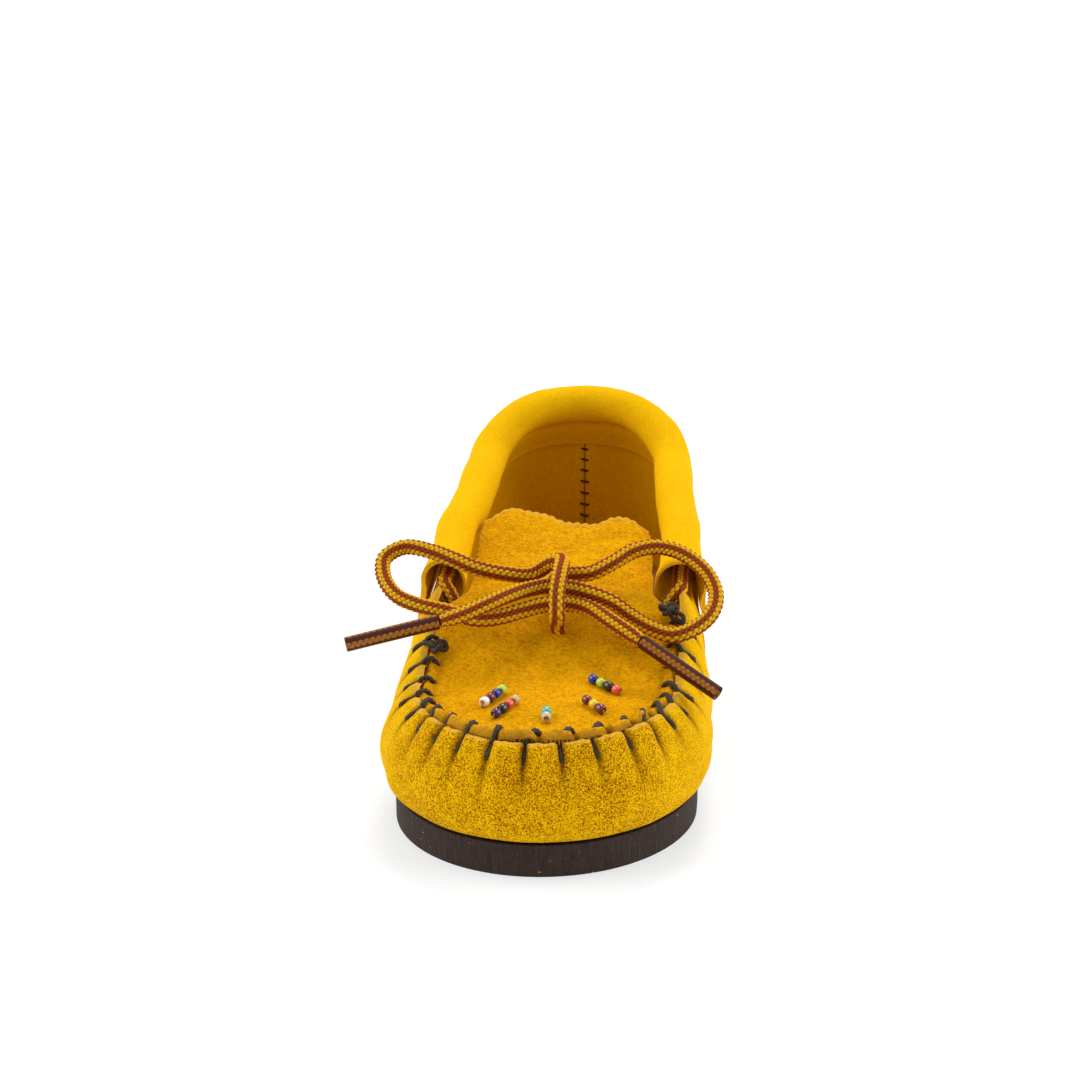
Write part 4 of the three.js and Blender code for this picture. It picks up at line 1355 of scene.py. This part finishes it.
@dataclass
class PlugAndTongue:
    """One piece of leather: the plug over the toes, running back into the pinked tongue."""

    shape: PlugShape = field(default_factory=PlugShape)
    hinge: float = 0.478
    front: float = 0.006
    margin: Table = (
        (0, -1.2), (0.03, -1.0), (0.08, -0.4), (0.16, 0.2), (0.3, 0.5), (0.345, 1.0), (0.43, 6.5),
        (1, 6.5),
    )
    rows: int = 210
    columns: int = 150
    tongue_rows: int = 40
    tongue_length: float = 18.0
    slope: float = 14.0
    root_gap: float = 1.6
    root_width: float = 39.4
    tip_width: float = 38.4
    tip_shift: float = -0.4
    tongue_dome: float = 2.4
    scallop: float = 1.9
    scallop_depth: float = 0.9
    side_scallop_depth: float = 0.45
    bend: tuple = (-6.5, 0.5)
    lip: float = 2.6
    lip_lower_beside: float = 1.5
    rim_end: float = 0.242
    rim_points: int = 2400
    folds: int = 40
    wrinkle: float = 0.34

    def tongue(self, reach: np.ndarray, across: np.ndarray) -> np.ndarray:
        """Point of the tongue's upper face; across runs from +1 to -1."""
        slope = math.radians(self.slope)
        root = self.shape.point(self.hinge, 0.5) + np.array([0, self.root_gap, 0])
        half = (self.root_width + (self.tip_width - self.root_width) * reach) / 2
        corner = smooth((reach - 0.6) / 0.4) * smooth((np.abs(across) - 0.72) / 0.28)
        x = root[0] + self.tip_shift * reach + across * (half - 0.5 * corner * np.abs(across) ** 2)
        run = reach * self.tongue_length - np.where(across > 0, 2.4, 1.0) * corner
        curl = smooth(reach) * (
            2.6 * np.exp(-(((x + 15.0) / 6.5) ** 2)) + 1.5 * np.exp(-(((x - 12.0) / 5.5) ** 2))
            - 1.3 * np.exp(-(((x - 2.0) / 7.5) ** 2))
        )
        z = root[2] + run * math.sin(slope) - self.tongue_dome * across**2 + curl
        points = np.stack([x, root[1] + run * math.cos(slope), z], -1)
        edge = smooth((reach - 0.9) / 0.1)
        tip = np.abs(np.sin(np.pi * x / self.scallop))
        points[..., 1] += edge * self.scallop_depth * tip + curl * 0.4
        side = smooth((np.abs(across) - 0.965) / 0.035) * smooth(reach / 0.3)
        flank = np.abs(np.sin(np.pi * points[..., 1] / self.scallop))
        points[..., 0] += np.sign(across) * side * self.side_scallop_depth * flank
        return points

    def from_rim(self, points: np.ndarray) -> tuple[np.ndarray, np.ndarray]:
        """How each point lies to the plug's rim in plan.

        Args:
            points: Rows of points.

        Returns:
            Distance in from the rim, and turn of the rim's nearest place.
        """
        turns = np.linspace(-self.rim_end, self.rim_end, self.rim_points)
        share = LAST.share_at(turns)
        inset = -along(LAST.top_inset, share) - along(self.margin, share)
        rim = LAST.place(turns, inset, 0.0)[:, :2]
        tree = KDTree(len(rim))
        for index, (x, y) in enumerate(rim):
            tree.insert((x, y, 0), index)
        tree.balance()
        found = [tree.find((x, y, 0)) for x, y, _ in points.reshape(-1, 3)]
        away = np.array([hit[2] for hit in found]).reshape(points.shape[:2])
        at = turns[np.array([hit[1] for hit in found])].reshape(points.shape[:2])
        return away, at

    def outer(self) -> tuple[np.ndarray, dict[str, np.ndarray]]:
        """Upper face of the whole piece.

        Returns:
            Rows of points from the toe to the tongue's tip, and the marks for its finish.
        """
        turns = np.linspace(self.front, LAST.turn_at(self.hinge), self.rows)
        lean = np.linspace(-1, 1, self.columns)
        spaced = 0.5 + 0.5 * np.sign(lean) * (1 - (1 - np.abs(lean)) ** 1.25)
        share, across = np.meshgrid(LAST.share_at(turns), spaced, indexing="ij")
        plug = self.shape.point(share, across, self.margin)
        reaches = np.linspace(0, 1, self.tongue_rows)
        reach, side = np.meshgrid(reaches, 1 - 2 * spaced, indexing="ij")
        points = np.concatenate([plug, self.tongue(reach, side)])
        away, at = self.from_rim(points)
        in_plug = np.zeros(points.shape[:2])
        in_plug[: self.rows] = 1
        sewn = in_plug * SEAM.inside(at) * (1 - smooth((away - 4.5) / 2.0))
        distance, step, fold = SEAM.near(at, True)
        size = np.random.default_rng(9).uniform(0.75, 1.2, self.folds)[fold]
        hump = np.clip(1 - np.abs(2 * step - 1) ** 3, 0, 1) * size
        tall = self.lip - self.lip_lower_beside * smooth((np.abs(at) - 0.07) / 0.06)
        lip = tall * bell(away - 1.1, 1.3) * (0.5 + 0.5 * hump)
        pinch = bell(distance, 0.8) * bell(away, 2.2)
        in_plan = points * np.array([1, 1, 0])
        wrinkle = ripple(in_plan, 2.4, 21) * self.wrinkle * bell(away - 0.9, 1.4)
        points[..., 2] += sewn * (lip - 0.5 * tall * pinch + wrinkle)
        points[..., 2] += 0.12 + 0.16 * ripple(points, 9.0, 31) + 0.05 * ripple(points, 3.1, 32)
        rows_back = np.arange(points.shape[0])[:, None] - self.rows
        loose = smooth((rows_back + 30) / 60.0)
        points[..., 2] += loose * 0.3 * ripple(points, 7.0, 33)
        cut = across_edge(spaced)[None, :] * (1 - sewn)
        cut[-2:] = 1.0
        marks = {
            # more dark speckle on the plug than on the walls: partly real nap, partly painted shade
            "nap_and_shade": np.full(away.shape, 0.8),
            "edge": np.clip(cut + sewn * 0.5 * bell(away, 0.9), 0, 1),
            # painted shade in the pinches by the stitches, along the rim and in a line just inside
            # the raised lip
            "crease_shade": sewn * np.clip(
                pinch * 0.9 + 0.45 * bell(away, 0.7) + 0.35 * bell(away - 3.1, 0.6), 0, 1),
        }
        return points, marks

    def build(self) -> np.ndarray:
        """Make the piece and return its upper face."""
        face, marks = self.outer()
        run = np.gradient(face, axis=0)
        span = np.gradient(face, axis=1)
        normal = np.cross(span, run)
        normal /= np.linalg.norm(normal, axis=-1, keepdims=True)
        normal = np.where(normal[..., 2:] < 0, -normal, normal)
        normal = normal * 0.4 + np.array([0, 0, 0.6])
        back = face - normal / np.linalg.norm(normal, axis=-1, keepdims=True) * LAST.leather
        piece = sheet_of_leather(face, back, marks, 1).make("plug_and_tongue")
        soften(piece, 60)
        dress(piece, "suede", PLUG_SUEDE_SHADED, FLESH_SHADED)
        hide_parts("plug", "tongue")
        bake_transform(piece)
        log.info("%s: %d faces", piece.name, len(piece.data.polygons))
        return face


def bell(away: np.ndarray, width: float) -> np.ndarray:
    """Bell-shaped share, 1 at no distance and about a third at the width."""
    return np.exp(-((away / width) ** 2))


def across_edge(spaced: np.ndarray) -> np.ndarray:
    """1 at the two ends of a row and 0 inside it."""
    return smooth((np.abs(2 * spaced - 1) - 0.985) / 0.015)


@dataclass
class Collar:
    """Strip of suede rolled over the lace, with a leg down each side of the quarters."""

    start: float = 0.44
    radius: float = 4.6
    leather: float = 1.3
    leg: float = 11.0
    skived: float = 0.5
    skive_width: float = 5.0
    leg_top: float = 5.4
    thinned: float = 0.45
    mouth_reach: float = 0.035
    columns: int = 420
    leg_rows: int = 16
    roll_rows: int = 44
    throat_rows: int = 4
    flare: dict[Side, float] = field(default_factory=lambda: {Side.LEFT: 0.5, Side.RIGHT: 1.5})

    def rows(self, turn: np.ndarray, inner: bool) -> np.ndarray:
        """Section of the strip at each turn: up the outer leg, over the roll, down the inner leg.

        Args:
            turn: Turns of the sections.
            inner: Whether the strip's hidden side is meant.

        Returns:
            Points as turns by places along the section.
        """
        inside = LAST.leather / 2 + 2.5 * LAST.fit
        share = LAST.share_at(turn)
        near_mouth = bell(share - self.start, self.mouth_reach)
        side = np.where(turn < 0.5, self.flare[Side.RIGHT], self.flare[Side.LEFT])
        full = self.radius + near_mouth * side
        radius = full - (self.leather * (1 - self.thinned * near_mouth) if inner else 0.0)
        depth = np.linspace(self.leg, self.leg_top, self.leg_rows)
        full_from = smooth((self.leg - depth) / self.skive_width)
        thick = self.skived + (self.leather - self.skived) * full_from
        offset = inside + (0.0 if inner else 1.0) * thick
        turns = turn[:, None]
        outer_leg = LAST.beside(turns, depth[None, :], offset[None, :])
        inner_leg = LAST.beside(turns, depth[None, ::-1], -offset[None, ::-1])
        throat = np.arcsin((inside + (0 if inner else self.leather)) / radius)
        steps = np.linspace(0, 1, self.roll_rows)[None, :]
        angle = throat[:, None] + (2 * np.pi - 2 * throat[:, None]) * steps
        roll = LAST.tunnel(turns, angle, radius[:, None])
        return np.concatenate([outer_leg, roll, inner_leg], axis=1)

    def build(self) -> None:
        """Make the collar."""
        first = LAST.turn_at(self.start)
        steps = np.linspace(-1, 1, self.columns)
        turn = 0.5 + (0.5 - first) * np.sign(steps) * (1 - (1 - np.abs(steps)) ** 1.12)
        face, back = self.rows(turn, False), self.rows(turn, True)
        rolled = slice(self.leg_rows, self.leg_rows + self.roll_rows)
        past_throat = slice(rolled.start + self.throat_rows, rolled.stop)
        centre = face[:, past_throat].mean(axis=1)[:, None, :]
        wave = 0.2 * ripple(face, 16.0, 41) + 0.05 * ripple(face, 5.0, 42)
        way = face - centre
        way /= np.maximum(np.linalg.norm(way, axis=-1, keepdims=True), 1e-6)
        on_roll = np.zeros(face.shape[1])
        on_roll[rolled] = 1
        face = face + way * (wave * on_roll[None, :])[..., None]
        mouth = smooth(1 - np.abs(np.abs(steps) - 1) / 0.006)[:, None] + np.zeros(face.shape[:2])
        edge = np.zeros(face.shape[:2])
        edge[:, [0, -1]] = 0.8
        marks = {
            "nap_and_shade": np.full(face.shape[:2], 0.35),
            "edge": np.clip(0.35 * mouth + edge, 0, 1),
            "crease_shade": np.zeros(face.shape[:2]),
        }
        piece = sheet_of_leather(face, back, marks).make("rolled_collar")
        work_on(piece)
        bpy.ops.object.mode_set(mode="EDIT")
        bpy.ops.mesh.select_all(action="SELECT")
        bpy.ops.mesh.normals_make_consistent(inside=False)
        bpy.ops.object.mode_set(mode="OBJECT")
        soften(piece, 60)
        dress(piece, "suede", WALL_SUEDE)
        mount(piece, Body.SHOE, "collar")


# ---- Thread ----


@dataclass
class Stitching:
    """Waxed thread of the toe seam and the heel seam, with the knots that end it."""

    plug_face: np.ndarray
    toe: ToePiece
    size: float = 1.35
    thinner_beside: float = 0.3
    step: float = 0.13
    sides: int = 12
    plies: int = 3
    ply_depth: float = 0.13
    ply_twist: float = 1.9
    inset: float = 2.6
    arch: float = 1.7
    lower_beside: float = 0.6
    heel_count: int = 15
    heel_size: float = 0.62
    heel_half: float = 0.0034
    heel_slant: float = 0.003
    heel_lift: float = 0.32
    heel_sink: float = 0.55
    knot_size: float = 1.25
    tail_size: float = 1.0

    def strand(self, pattern: Pattern, route: list, size: float, phase: int = 0) -> None:
        """Add a length of twisted thread.

        Args:
            pattern: Pattern to add it to.
            route: Control points of its middle.
            size: Its thickness.
            phase: Where the twist starts.
        """
        line = through(np.array(route, float), self.step)
        run = np.arange(len(line)) * self.step
        angle = 2 * np.pi * (np.arange(self.sides) / self.sides)[None, :]
        twisted = angle + (run * self.ply_twist)[:, None] + phase
        ply = 1 + self.ply_depth * np.cos(self.plies * twisted)
        radius = size / 2 * 0.93 * ply
        tube(pattern, line, radius, np.array([0.1, 0.2, 1.0]))

    def ground(self, x: float, y: float) -> float:
        """Height of the plug's face at a place in plan."""
        flat = self.plug_face.reshape(-1, 3)
        near = np.argmin((flat[:, 0] - x) ** 2 + (flat[:, 1] - y) ** 2)
        return float(flat[near, 2])

    def on_plug(self, turn: float, inset: float, lift: float) -> np.ndarray:
        """Point over the plug, in from the toe seam by an inset."""
        share = LAST.share_at(turn)
        point = LAST.place(turn, -along(LAST.top_inset, share) - inset, 0.0)
        point[2] = self.ground(point[0], point[1]) + lift
        return point

    def toe_stitches(self) -> None:
        """Make the whip stitches round the toe."""
        pattern = Pattern()
        for number, (wall, plug) in enumerate(SEAM.crossings):
            at = np.array(wall)
            entry = self.on_plug(plug, self.inset, 0.4)
            beside = float(smooth((abs(wall) - 0.08) / 0.05))
            arch = np.array([0, 0, self.arch - self.lower_beside * beside])
            down = [
                self.toe.face(at, np.array(rise), lift)
                for rise, lift in ((0.97, 0.8), (0.91, 0.55), (0.865, 0.3), (0.83, -0.9))
            ]
            route = [
                self.on_plug(plug, self.inset + 0.5, -0.8), entry,
                entry * 0.62 + down[0] * 0.38 + arch,
                entry * 0.25 + down[0] * 0.75 + arch * 0.8, *down,
            ]
            self.strand(pattern, route, self.size - self.thinner_beside * beside, number)
        piece = pattern.make("toe_seam_stitches")
        soften(piece, 70)
        dress(piece, "waxed_thread", THREAD)
        mount(piece, Body.SHOE, "moc_seam_thread")

    def heel_stitches(self) -> None:
        """Make the cross stitches that close the heel seam, inside and out."""
        pattern = Pattern()
        half, slant, lift, sink = self.heel_half, self.heel_slant, self.heel_lift, self.heel_sink
        for number, rise in enumerate(np.linspace(0.16, 0.86, self.heel_count)):
            for depth, into in ((lift, sink), (-LAST.leather - lift, -sink)):
                route = [
                    LAST.wall(0.5 - half, rise - slant, depth - into),
                    LAST.wall(0.5 - half * 0.75, rise - slant * 0.7, depth),
                    LAST.wall(0.5, rise, depth * 1.05),
                    LAST.wall(0.5 + half * 0.75, rise + slant * 0.7, depth),
                    LAST.wall(0.5 + half, rise + slant, depth - into),
                ]
                self.strand(pattern, route, self.heel_size, number)
        piece = pattern.make("heel_seam_stitches")
        soften(piece, 70)
        dress(piece, "waxed_thread", HEEL_THREAD)
        mount(piece, Body.SHOE, "heel_seam_thread")

    def knot(self, side: Side) -> None:
        """Make the tied end of the toe seam's thread on one side, with its two loose tails."""
        name = "thread_knot_" + side.name.lower()
        low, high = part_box(name)
        centre = (np.array(low) + np.array(high)) / 2 / MM
        pattern = Pattern()
        t = np.linspace(0, 2 * np.pi, 26)
        trefoil = [np.sin(t) + 2 * np.sin(2 * t), np.cos(t) - 2 * np.cos(2 * t), -np.sin(3 * t)]
        knot = np.stack(trefoil, 1) * np.array([0.62, 0.52, 0.7])
        self.strand(pattern, list(centre + knot), self.knot_size)
        s = side.value
        wall = SEAM.crossings[-1 if side is Side.RIGHT else 0][0]
        last = self.toe.face(np.array(wall), np.array(0.97), 0.4)
        for bow, drop in ((1.6, 0.2), (-0.6, 1.4)):
            middle = (centre + last) / 2 + np.array([s * bow, -0.4, 0.9 - drop * 0.4])
            route = [centre + np.array([0, -0.3, -0.2]), middle,
                     last + np.array([0, drop * 2 - 1, 0])]
            self.strand(pattern, route, self.tail_size)
        piece = pattern.make(name + "_tied")
        soften(piece, 70)
        dress(piece, "waxed_thread", THREAD)
        mount(piece, Body.SHOE, name)

    def build(self) -> None:
        """Make all the thread."""
        self.toe_stitches()
        self.heel_stitches()
        for side in Side:
            self.knot(side)


# ---- Beads ----


@dataclass
class Beads:
    """Five short rows of glass seed beads on the plug."""

    diameter: float = 2.1
    bore: float = 0.6
    length: float = 1.8
    thread: float = 0.5
    rows: dict[str, tuple[str, ...]] = field(default_factory=lambda: {
        "left_outer": ("white", "plum", "blue", "lime"),
        "left_inner": ("purple", "black", "coral", "cream"),
        "middle": ("turquoise", "pearl"),
        "right_inner": ("plum", "yellow", "plum"),
        "right_outer": ("blue", "lime", "black", "coral"),
    })

    def first_bead(self) -> bpy.types.Mesh:
        """Model the bead that all the others are copied from."""
        deselect_all()
        bpy.ops.mesh.primitive_torus_add(
            major_segments=32, minor_segments=16,
            major_radius=(self.diameter + self.bore) / 4 * MM,
            minor_radius=(self.diameter - self.bore) / 4 * MM)
        piece = bpy.context.active_object
        bpy.ops.object.mode_set(mode="EDIT")
        bpy.ops.mesh.select_all(action="SELECT")
        stretch = self.length / ((self.diameter - self.bore) / 2)
        bpy.ops.transform.resize(value=(1, 1, stretch))
        bpy.ops.object.mode_set(mode="OBJECT")
        mesh = piece.data.copy()
        bpy.data.objects.remove(piece)
        return mesh

    def build(self) -> None:
        """Make every bead and the thread of each row."""
        model = self.first_bead()
        rng = np.random.default_rng(17)
        for row, colours in self.rows.items():
            boxes = [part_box(f"bead_{row}_{number + 1}") for number in range(len(colours))]
            middles = [(np.array(low) + np.array(high)) / 2 for low, high in boxes]
            way = middles[-1] - middles[0]
            way /= np.linalg.norm(way)
            for number, (middle, colour) in enumerate(zip(middles, colours)):
                name = f"bead_{row}_{number + 1}"
                piece = bpy.data.objects.new(name + "_glass", model.copy())
                bpy.context.scene.collection.objects.link(piece)
                tilt = Vector(way + rng.normal(0, 0.05, 3)).normalized()
                turn = Vector((0, 0, 1)).rotation_difference(tilt).to_matrix().to_4x4()
                size = Matrix.Scale(float(rng.uniform(0.96, 1.03)), 4)
                piece.data.transform(Matrix.Translation(Vector(middle)) @ turn @ size)
                soften(piece, 60)
                dress(piece, "bead_" + colour, GLASSES[colour])
                mount(piece, Body.SHOE, name)
            self.row_thread(row, middles, way)

    def row_thread(self, row: str, middles: list[np.ndarray], way: np.ndarray) -> None:
        """Make the thread that a row sits on, dipping into the leather past each end."""
        first, last = middles[0] / MM, middles[-1] / MM
        up = np.array([0, 0, 1.0])
        route = [
            first - way * 0.95 - up * 1.6, first - way * 0.85 - up * 0.4, first - way * 0.5,
            last + way * 0.5, last + way * 0.85 - up * 0.4, last + way * 0.95 - up * 1.6,
        ]
        line = through(np.array(route), 0.2)
        pattern = Pattern()
        radius = np.full((len(line), 8), self.thread / 2)
        tube(pattern, line, radius, np.array([0.3, 0.2, 1.0]))
        piece = pattern.make(f"bead_thread_{row}_strand")
        soften(piece, 70)
        dress(piece, "bead_thread", BEAD_THREAD)
        mount(piece, Body.SHOE, f"bead_thread_{row}")


# ---- Sole ----


@dataclass
class Sole:
    """Crepe outsole with its grooved tread, and the layers inside the shoe."""

    bevel: float = 0.8
    groove_depth: float = 1.2
    groove_width: float = 2.4
    groove_pitch: float = 9.0
    groove_margin: float = 6.0
    points: int = 256
    layer_points: int = 160
    layer_inset: float = 2.0
    layer_bevel: float = 0.3
    bed_clearance: float = 2.5

    def plate(self, name: str, edge: np.ndarray, bottom: float,
              thickness: float) -> bpy.types.Object:
        """Start a flat plate in edit mode from a filled circle pulled to an outline, then raised.

        Args:
            name: Name of the piece.
            edge: Outline as rows of x, y, running anticlockwise.
            bottom: Height of its lower face.
            thickness: Distance up to its upper face.

        Returns:
            The plate, in edit mode with its upper face selected.
        """
        deselect_all()
        bpy.ops.mesh.primitive_circle_add(
            vertices=len(edge), radius=0.05, fill_type="NGON", location=(0, 0, 0))
        piece = bpy.context.active_object
        piece.name = name
        order = sorted(piece.data.vertices, key=lambda v: math.atan2(v.co.y, v.co.x))
        ranked = edge[np.argsort(np.arctan2(edge[:, 1], edge[:, 0]))]
        for vertex, (x, y) in zip(order, ranked):
            vertex.co = (x * MM, y * MM, bottom * MM)
        bpy.ops.object.mode_set(mode="EDIT")
        bpy.ops.mesh.select_all(action="SELECT")
        raised = (0, 0, thickness * MM)
        bpy.ops.mesh.extrude_region_move(TRANSFORM_OT_translate={"value": raised})
        return piece

    def round_edges(self, piece: bpy.types.Object, width: float,
                    heights: tuple[float, ...]) -> None:
        """Bevel the plate's edges at the given heights and leave edit mode."""
        bpy.ops.mesh.select_all(action="DESELECT")
        mesh = bmesh.from_edit_mesh(piece.data)
        for edge in mesh.edges:
            first, last = (vertex.co.z for vertex in edge.verts)
            at_height = all(min(abs(z / MM - height) for height in heights) < 1e-3
                            for z in (first, last))
            edge.select_set(at_height and abs(first - last) < 1e-7)
        bmesh.update_edit_mesh(piece.data)
        bpy.ops.mesh.bevel(offset=width * MM, segments=3, profile=0.6)
        bpy.ops.mesh.select_all(action="SELECT")
        bpy.ops.mesh.normals_make_consistent(inside=False)
        bpy.ops.object.mode_set(mode="OBJECT")

    def outsole(self) -> None:
        """Make the outsole and cut the grooves across its tread."""
        turns = np.linspace(0, 1, self.points, endpoint=False)
        piece = self.plate("crepe_outsole", LAST.outline(turns), 0.0, LAST.sole)
        self.round_edges(piece, self.bevel, (0.0, LAST.sole))
        count = int((LAST.length / 2 - self.groove_margin) // self.groove_pitch)
        cutters = []
        for index in range(-count, count):
            y = (index + 0.5) * self.groove_pitch
            distance = y + LAST.length / 2
            swing = -LAST.toe_swing * (1 - distance / LAST.length) ** 2
            deselect_all()
            bpy.ops.mesh.primitive_cube_add(size=1, location=(swing * MM, y * MM, 0))
            cutter = bpy.context.active_object
            half = float(LAST.half_width(distance)) - self.groove_margin
            cutter.scale = (2 * half * MM, self.groove_width * MM, 2 * self.groove_depth * MM)
            settle(cutter)
            cutters.append(cutter)
        deselect_all()
        for cutter in cutters:
            cutter.select_set(True)
        bpy.context.view_layer.objects.active = cutters[0]
        bpy.ops.object.join()
        cut = piece.modifiers.new("grooves", "BOOLEAN")
        cut.object = cutters[0]
        cut.operation = "DIFFERENCE"
        cut.solver = "EXACT"
        finish_with(piece, cut)
        bpy.data.objects.remove(cutters[0])
        soften(piece, 35)
        dress(piece, "crepe_rubber", RUBBER)
        mount(piece, Body.SHOE, "outsole")

    def reach(self, turn: np.ndarray, height: float) -> np.ndarray:
        """How far out an inner layer goes at a height above the floor."""
        rise = LAST.rise_at(turn, height - LAST.fit - LAST.leather)
        point, inward = LAST.section(turn, rise)
        return point[:, 0] + inward[:, 0] * LAST.leather - self.bed_clearance * LAST.fit

    def layer(self, name: str, node: str, slot: str, bottom: float, thickness: float,
              finish: bpy.types.Material) -> None:
        """Make one inner layer, its edge rounded.

        Args:
            name: Name of the piece.
            node: Name of the CAD node that it stands for.
            slot: Material slot named in the record.
            bottom: Height of its lower face.
            thickness: Its thickness.
            finish: Its material.
        """
        turns = np.linspace(0, 1, self.layer_points, endpoint=False)
        edge = LAST.place(turns, self.reach(turns, bottom), 0.0)[:, :2]
        piece = self.plate(name, edge, bottom, thickness)
        bpy.ops.mesh.inset(thickness=self.layer_inset * MM)
        width = self.layer_bevel * min(1.0, thickness)
        self.round_edges(piece, width, (bottom, bottom + thickness))
        soften(piece, 35)
        dress(piece, slot, finish)
        mount(piece, Body.SHOE, node)

    def build(self) -> None:
        """Make the outsole and the three inner layers."""
        self.outsole()
        self.layer("insole_board_plate", "insole_board", "board", 9.0, 1.6, BOARD)
        self.layer("footbed_foam_pad", "footbed_foam", "foam", 10.9, 3.0, FOAM)
        self.layer("sock_liner_leather", "sock_liner", "lining", 14.2, 0.9, LINING)


# ---- Studio ----


@dataclass
class Studio:
    """Pale floor, soft light and the camera."""

    azimuth: float = 3.6
    elevation: float = 19.9
    distance: float = 525.0
    target: tuple[float, float, float] = (-7.3, 7.8, 42.1)
    lens: float = 76.47
    sensor: float = 36.0
    air: float = 0.46
    floor_size: float = 12.0
    floor_glow: float = 0.47

    def camera(self) -> None:
        """Place the camera."""
        across, up = math.radians(self.azimuth), math.radians(self.elevation)
        level = math.cos(up)
        back = Vector((math.sin(across) * level, -math.cos(across) * level, math.sin(up)))
        data = bpy.data.cameras.new("camera")
        data.lens = self.lens
        data.sensor_width = self.sensor
        data.clip_start = 0.01
        eye = bpy.data.objects.new("camera", data)
        eye.location = (Vector(self.target) + back * self.distance) * MM
        eye.rotation_euler = back.to_track_quat("Z", "Y").to_euler()
        bpy.context.scene.collection.objects.link(eye)
        bpy.context.scene.camera = eye

    def sun(self, name: str, way: tuple[float, float, float], strength: float,
            spread: float) -> None:
        """Hang a soft, even light.

        Args:
            name: Name of the light.
            way: Direction from the shoe to the light.
            strength: Its strength.
            spread: Its width in degrees.
        """
        data = bpy.data.lights.new(name, "SUN")
        data.energy = strength
        data.angle = math.radians(spread)
        lamp = bpy.data.objects.new(name, data)
        lamp.rotation_euler = Vector(way).to_track_quat("Z", "Y").to_euler()
        bpy.context.scene.collection.objects.link(lamp)

    def floor(self) -> None:
        """Lay the floor."""
        deselect_all()
        bpy.ops.mesh.primitive_grid_add(
            x_subdivisions=4, y_subdivisions=4, size=self.floor_size, location=(0, 0, 0))
        floor = bpy.context.active_object
        floor.name = "studio_floor"
        r = Recipe("studio_paper")
        grain = r.noise(r.place(), 3.0, 2.0, 0.5)
        paper = r.mix(r.spread(grain, 0.3, 0.7), (0.6, 0.61, 0.62), (0.61, 0.62, 0.63))
        r.set(Base_Color=paper, Roughness=0.7)
        r.set(Emission_Color=(0.92, 0.97, 1.0, 1.0), Emission_Strength=self.floor_glow)
        floor.data.materials.append(r.material)

    def build(self) -> None:
        """Set up everything round the shoe."""
        self.camera()
        self.floor()
        world = bpy.data.worlds.new("studio")
        bpy.context.scene.world = world
        world.use_nodes = True
        air = world.node_tree.nodes["Background"]
        air.inputs[0].default_value = (1, 1, 1, 1)
        air.inputs[1].default_value = self.air
        self.sun("left_softbox", (-0.85, 0.0, 0.6), 1.7, 50)
        self.sun("right_softbox", (0.9, 0.1, 0.55), 1.6, 50)
        self.sun("back_softbox", (0.05, 0.75, 1.0), 1.0, 22)
        bpy.context.scene.view_settings.view_transform = "Standard"


# ---- Finishes in use ----

# darker, more speckled copy of the wall suede: real nap speckle with painted shade for the less-lit
# front of the toe
TOE_SUEDE_SHADED = Suede(
    "suede_toe_shaded", flat=linear(255, 198, 3), lifted=linear(140, 70, 1), grain=0.34, low=0.42,
    high=0.56,
).make()
# darker copy of the wall suede: real nap fibres with painted shade, as the plug gets less light
# than the walls
PLUG_SUEDE_SHADED = Suede(
    "suede_plug_shaded", flat=linear(246, 178, 1), lifted=linear(170, 96, 2), grain=0.52, low=0.36,
    stretch=(0.7, 1.0, 1.0), turn=(0, 0, 18), swirl=0.9, depth=0.45, patchy=0.2,
).make()
WALL_SUEDE = Suede(
    "suede_wall", flat=linear(253, 196, 3), lifted=linear(196, 126, 3), depth=0.28,
).make()
# flesh side of the suede: its own browner colour, darkened with painted shade for the shoe's inside
FLESH_SHADED = Suede(
    "flesh_side_shaded", flat=linear(140, 74, 3), lifted=linear(94, 42, 1), raw=linear(196, 130, 50),
    grain=0.7, depth=0.2,
).make()
RUBBER = Rubber().make()
THREAD = Thread("waxed_thread").make()
HEEL_THREAD = Thread("heel_thread", linear(104, 58, 12), linear(62, 30, 6)).make()
BEAD_THREAD = Thread("bead_thread", linear(206, 150, 40), linear(150, 100, 20)).make()
YARN = Yarn("braided_yarn").make()
FILM = Yarn(
    "film_over_braid", gold=linear(176, 104, 6), rust=linear(74, 22, 5), coat=0.7, rough=0.6,
    depth=0.03,
).make()
CORE = Plain("cut_core", linear(52, 34, 22), 0.3, 0.1).make()
LINING = Plain("lining_leather", linear(196, 138, 72), 0.5, 0.08, 0.75).make()
BOARD = Plain("insole_board", linear(200, 168, 120), 0.8, 0.1).make()
FOAM = Plain("foam", linear(232, 226, 210), 0.5, 0.2).make()
GLASSES = {
    "white": Glass("glass_white", linear(252, 248, 244)).make(),
    "plum": Glass("glass_plum", linear(120, 44, 62), 0.2).make(),
    "blue": Glass("glass_blue", linear(14, 40, 170)).make(),
    "lime": Glass("glass_lime", linear(190, 222, 80)).make(),
    "purple": Glass("glass_purple", linear(66, 30, 104), 0.2).make(),
    "black": Glass("glass_black", linear(22, 24, 30)).make(),
    "coral": Glass("glass_coral", linear(240, 84, 70)).make(),
    "cream": Glass("glass_cream", linear(246, 214, 130), 0.0, 0.35).make(),
    "turquoise": Glass("glass_turquoise", linear(70, 200, 190)).make(),
    "pearl": Glass("glass_pearl", linear(244, 232, 200), 0.0, 0.3).make(),
    "yellow": Glass("glass_yellow", linear(244, 200, 20)).make(),
}


def main() -> None:
    """Build the moccasin and the studio round it."""
    logging.basicConfig(level=logging.INFO, format="%(name)s %(message)s")
    Studio().build()
    Laces().build()
    Sole().build()
    toe = ToePiece()
    toe.build()
    Quarters().build()
    plug_face = PlugAndTongue().build()
    Collar().build()
    Stitching(plug_face, toe).build()
    Beads().build()


if __name__ == "__main__":
    main()
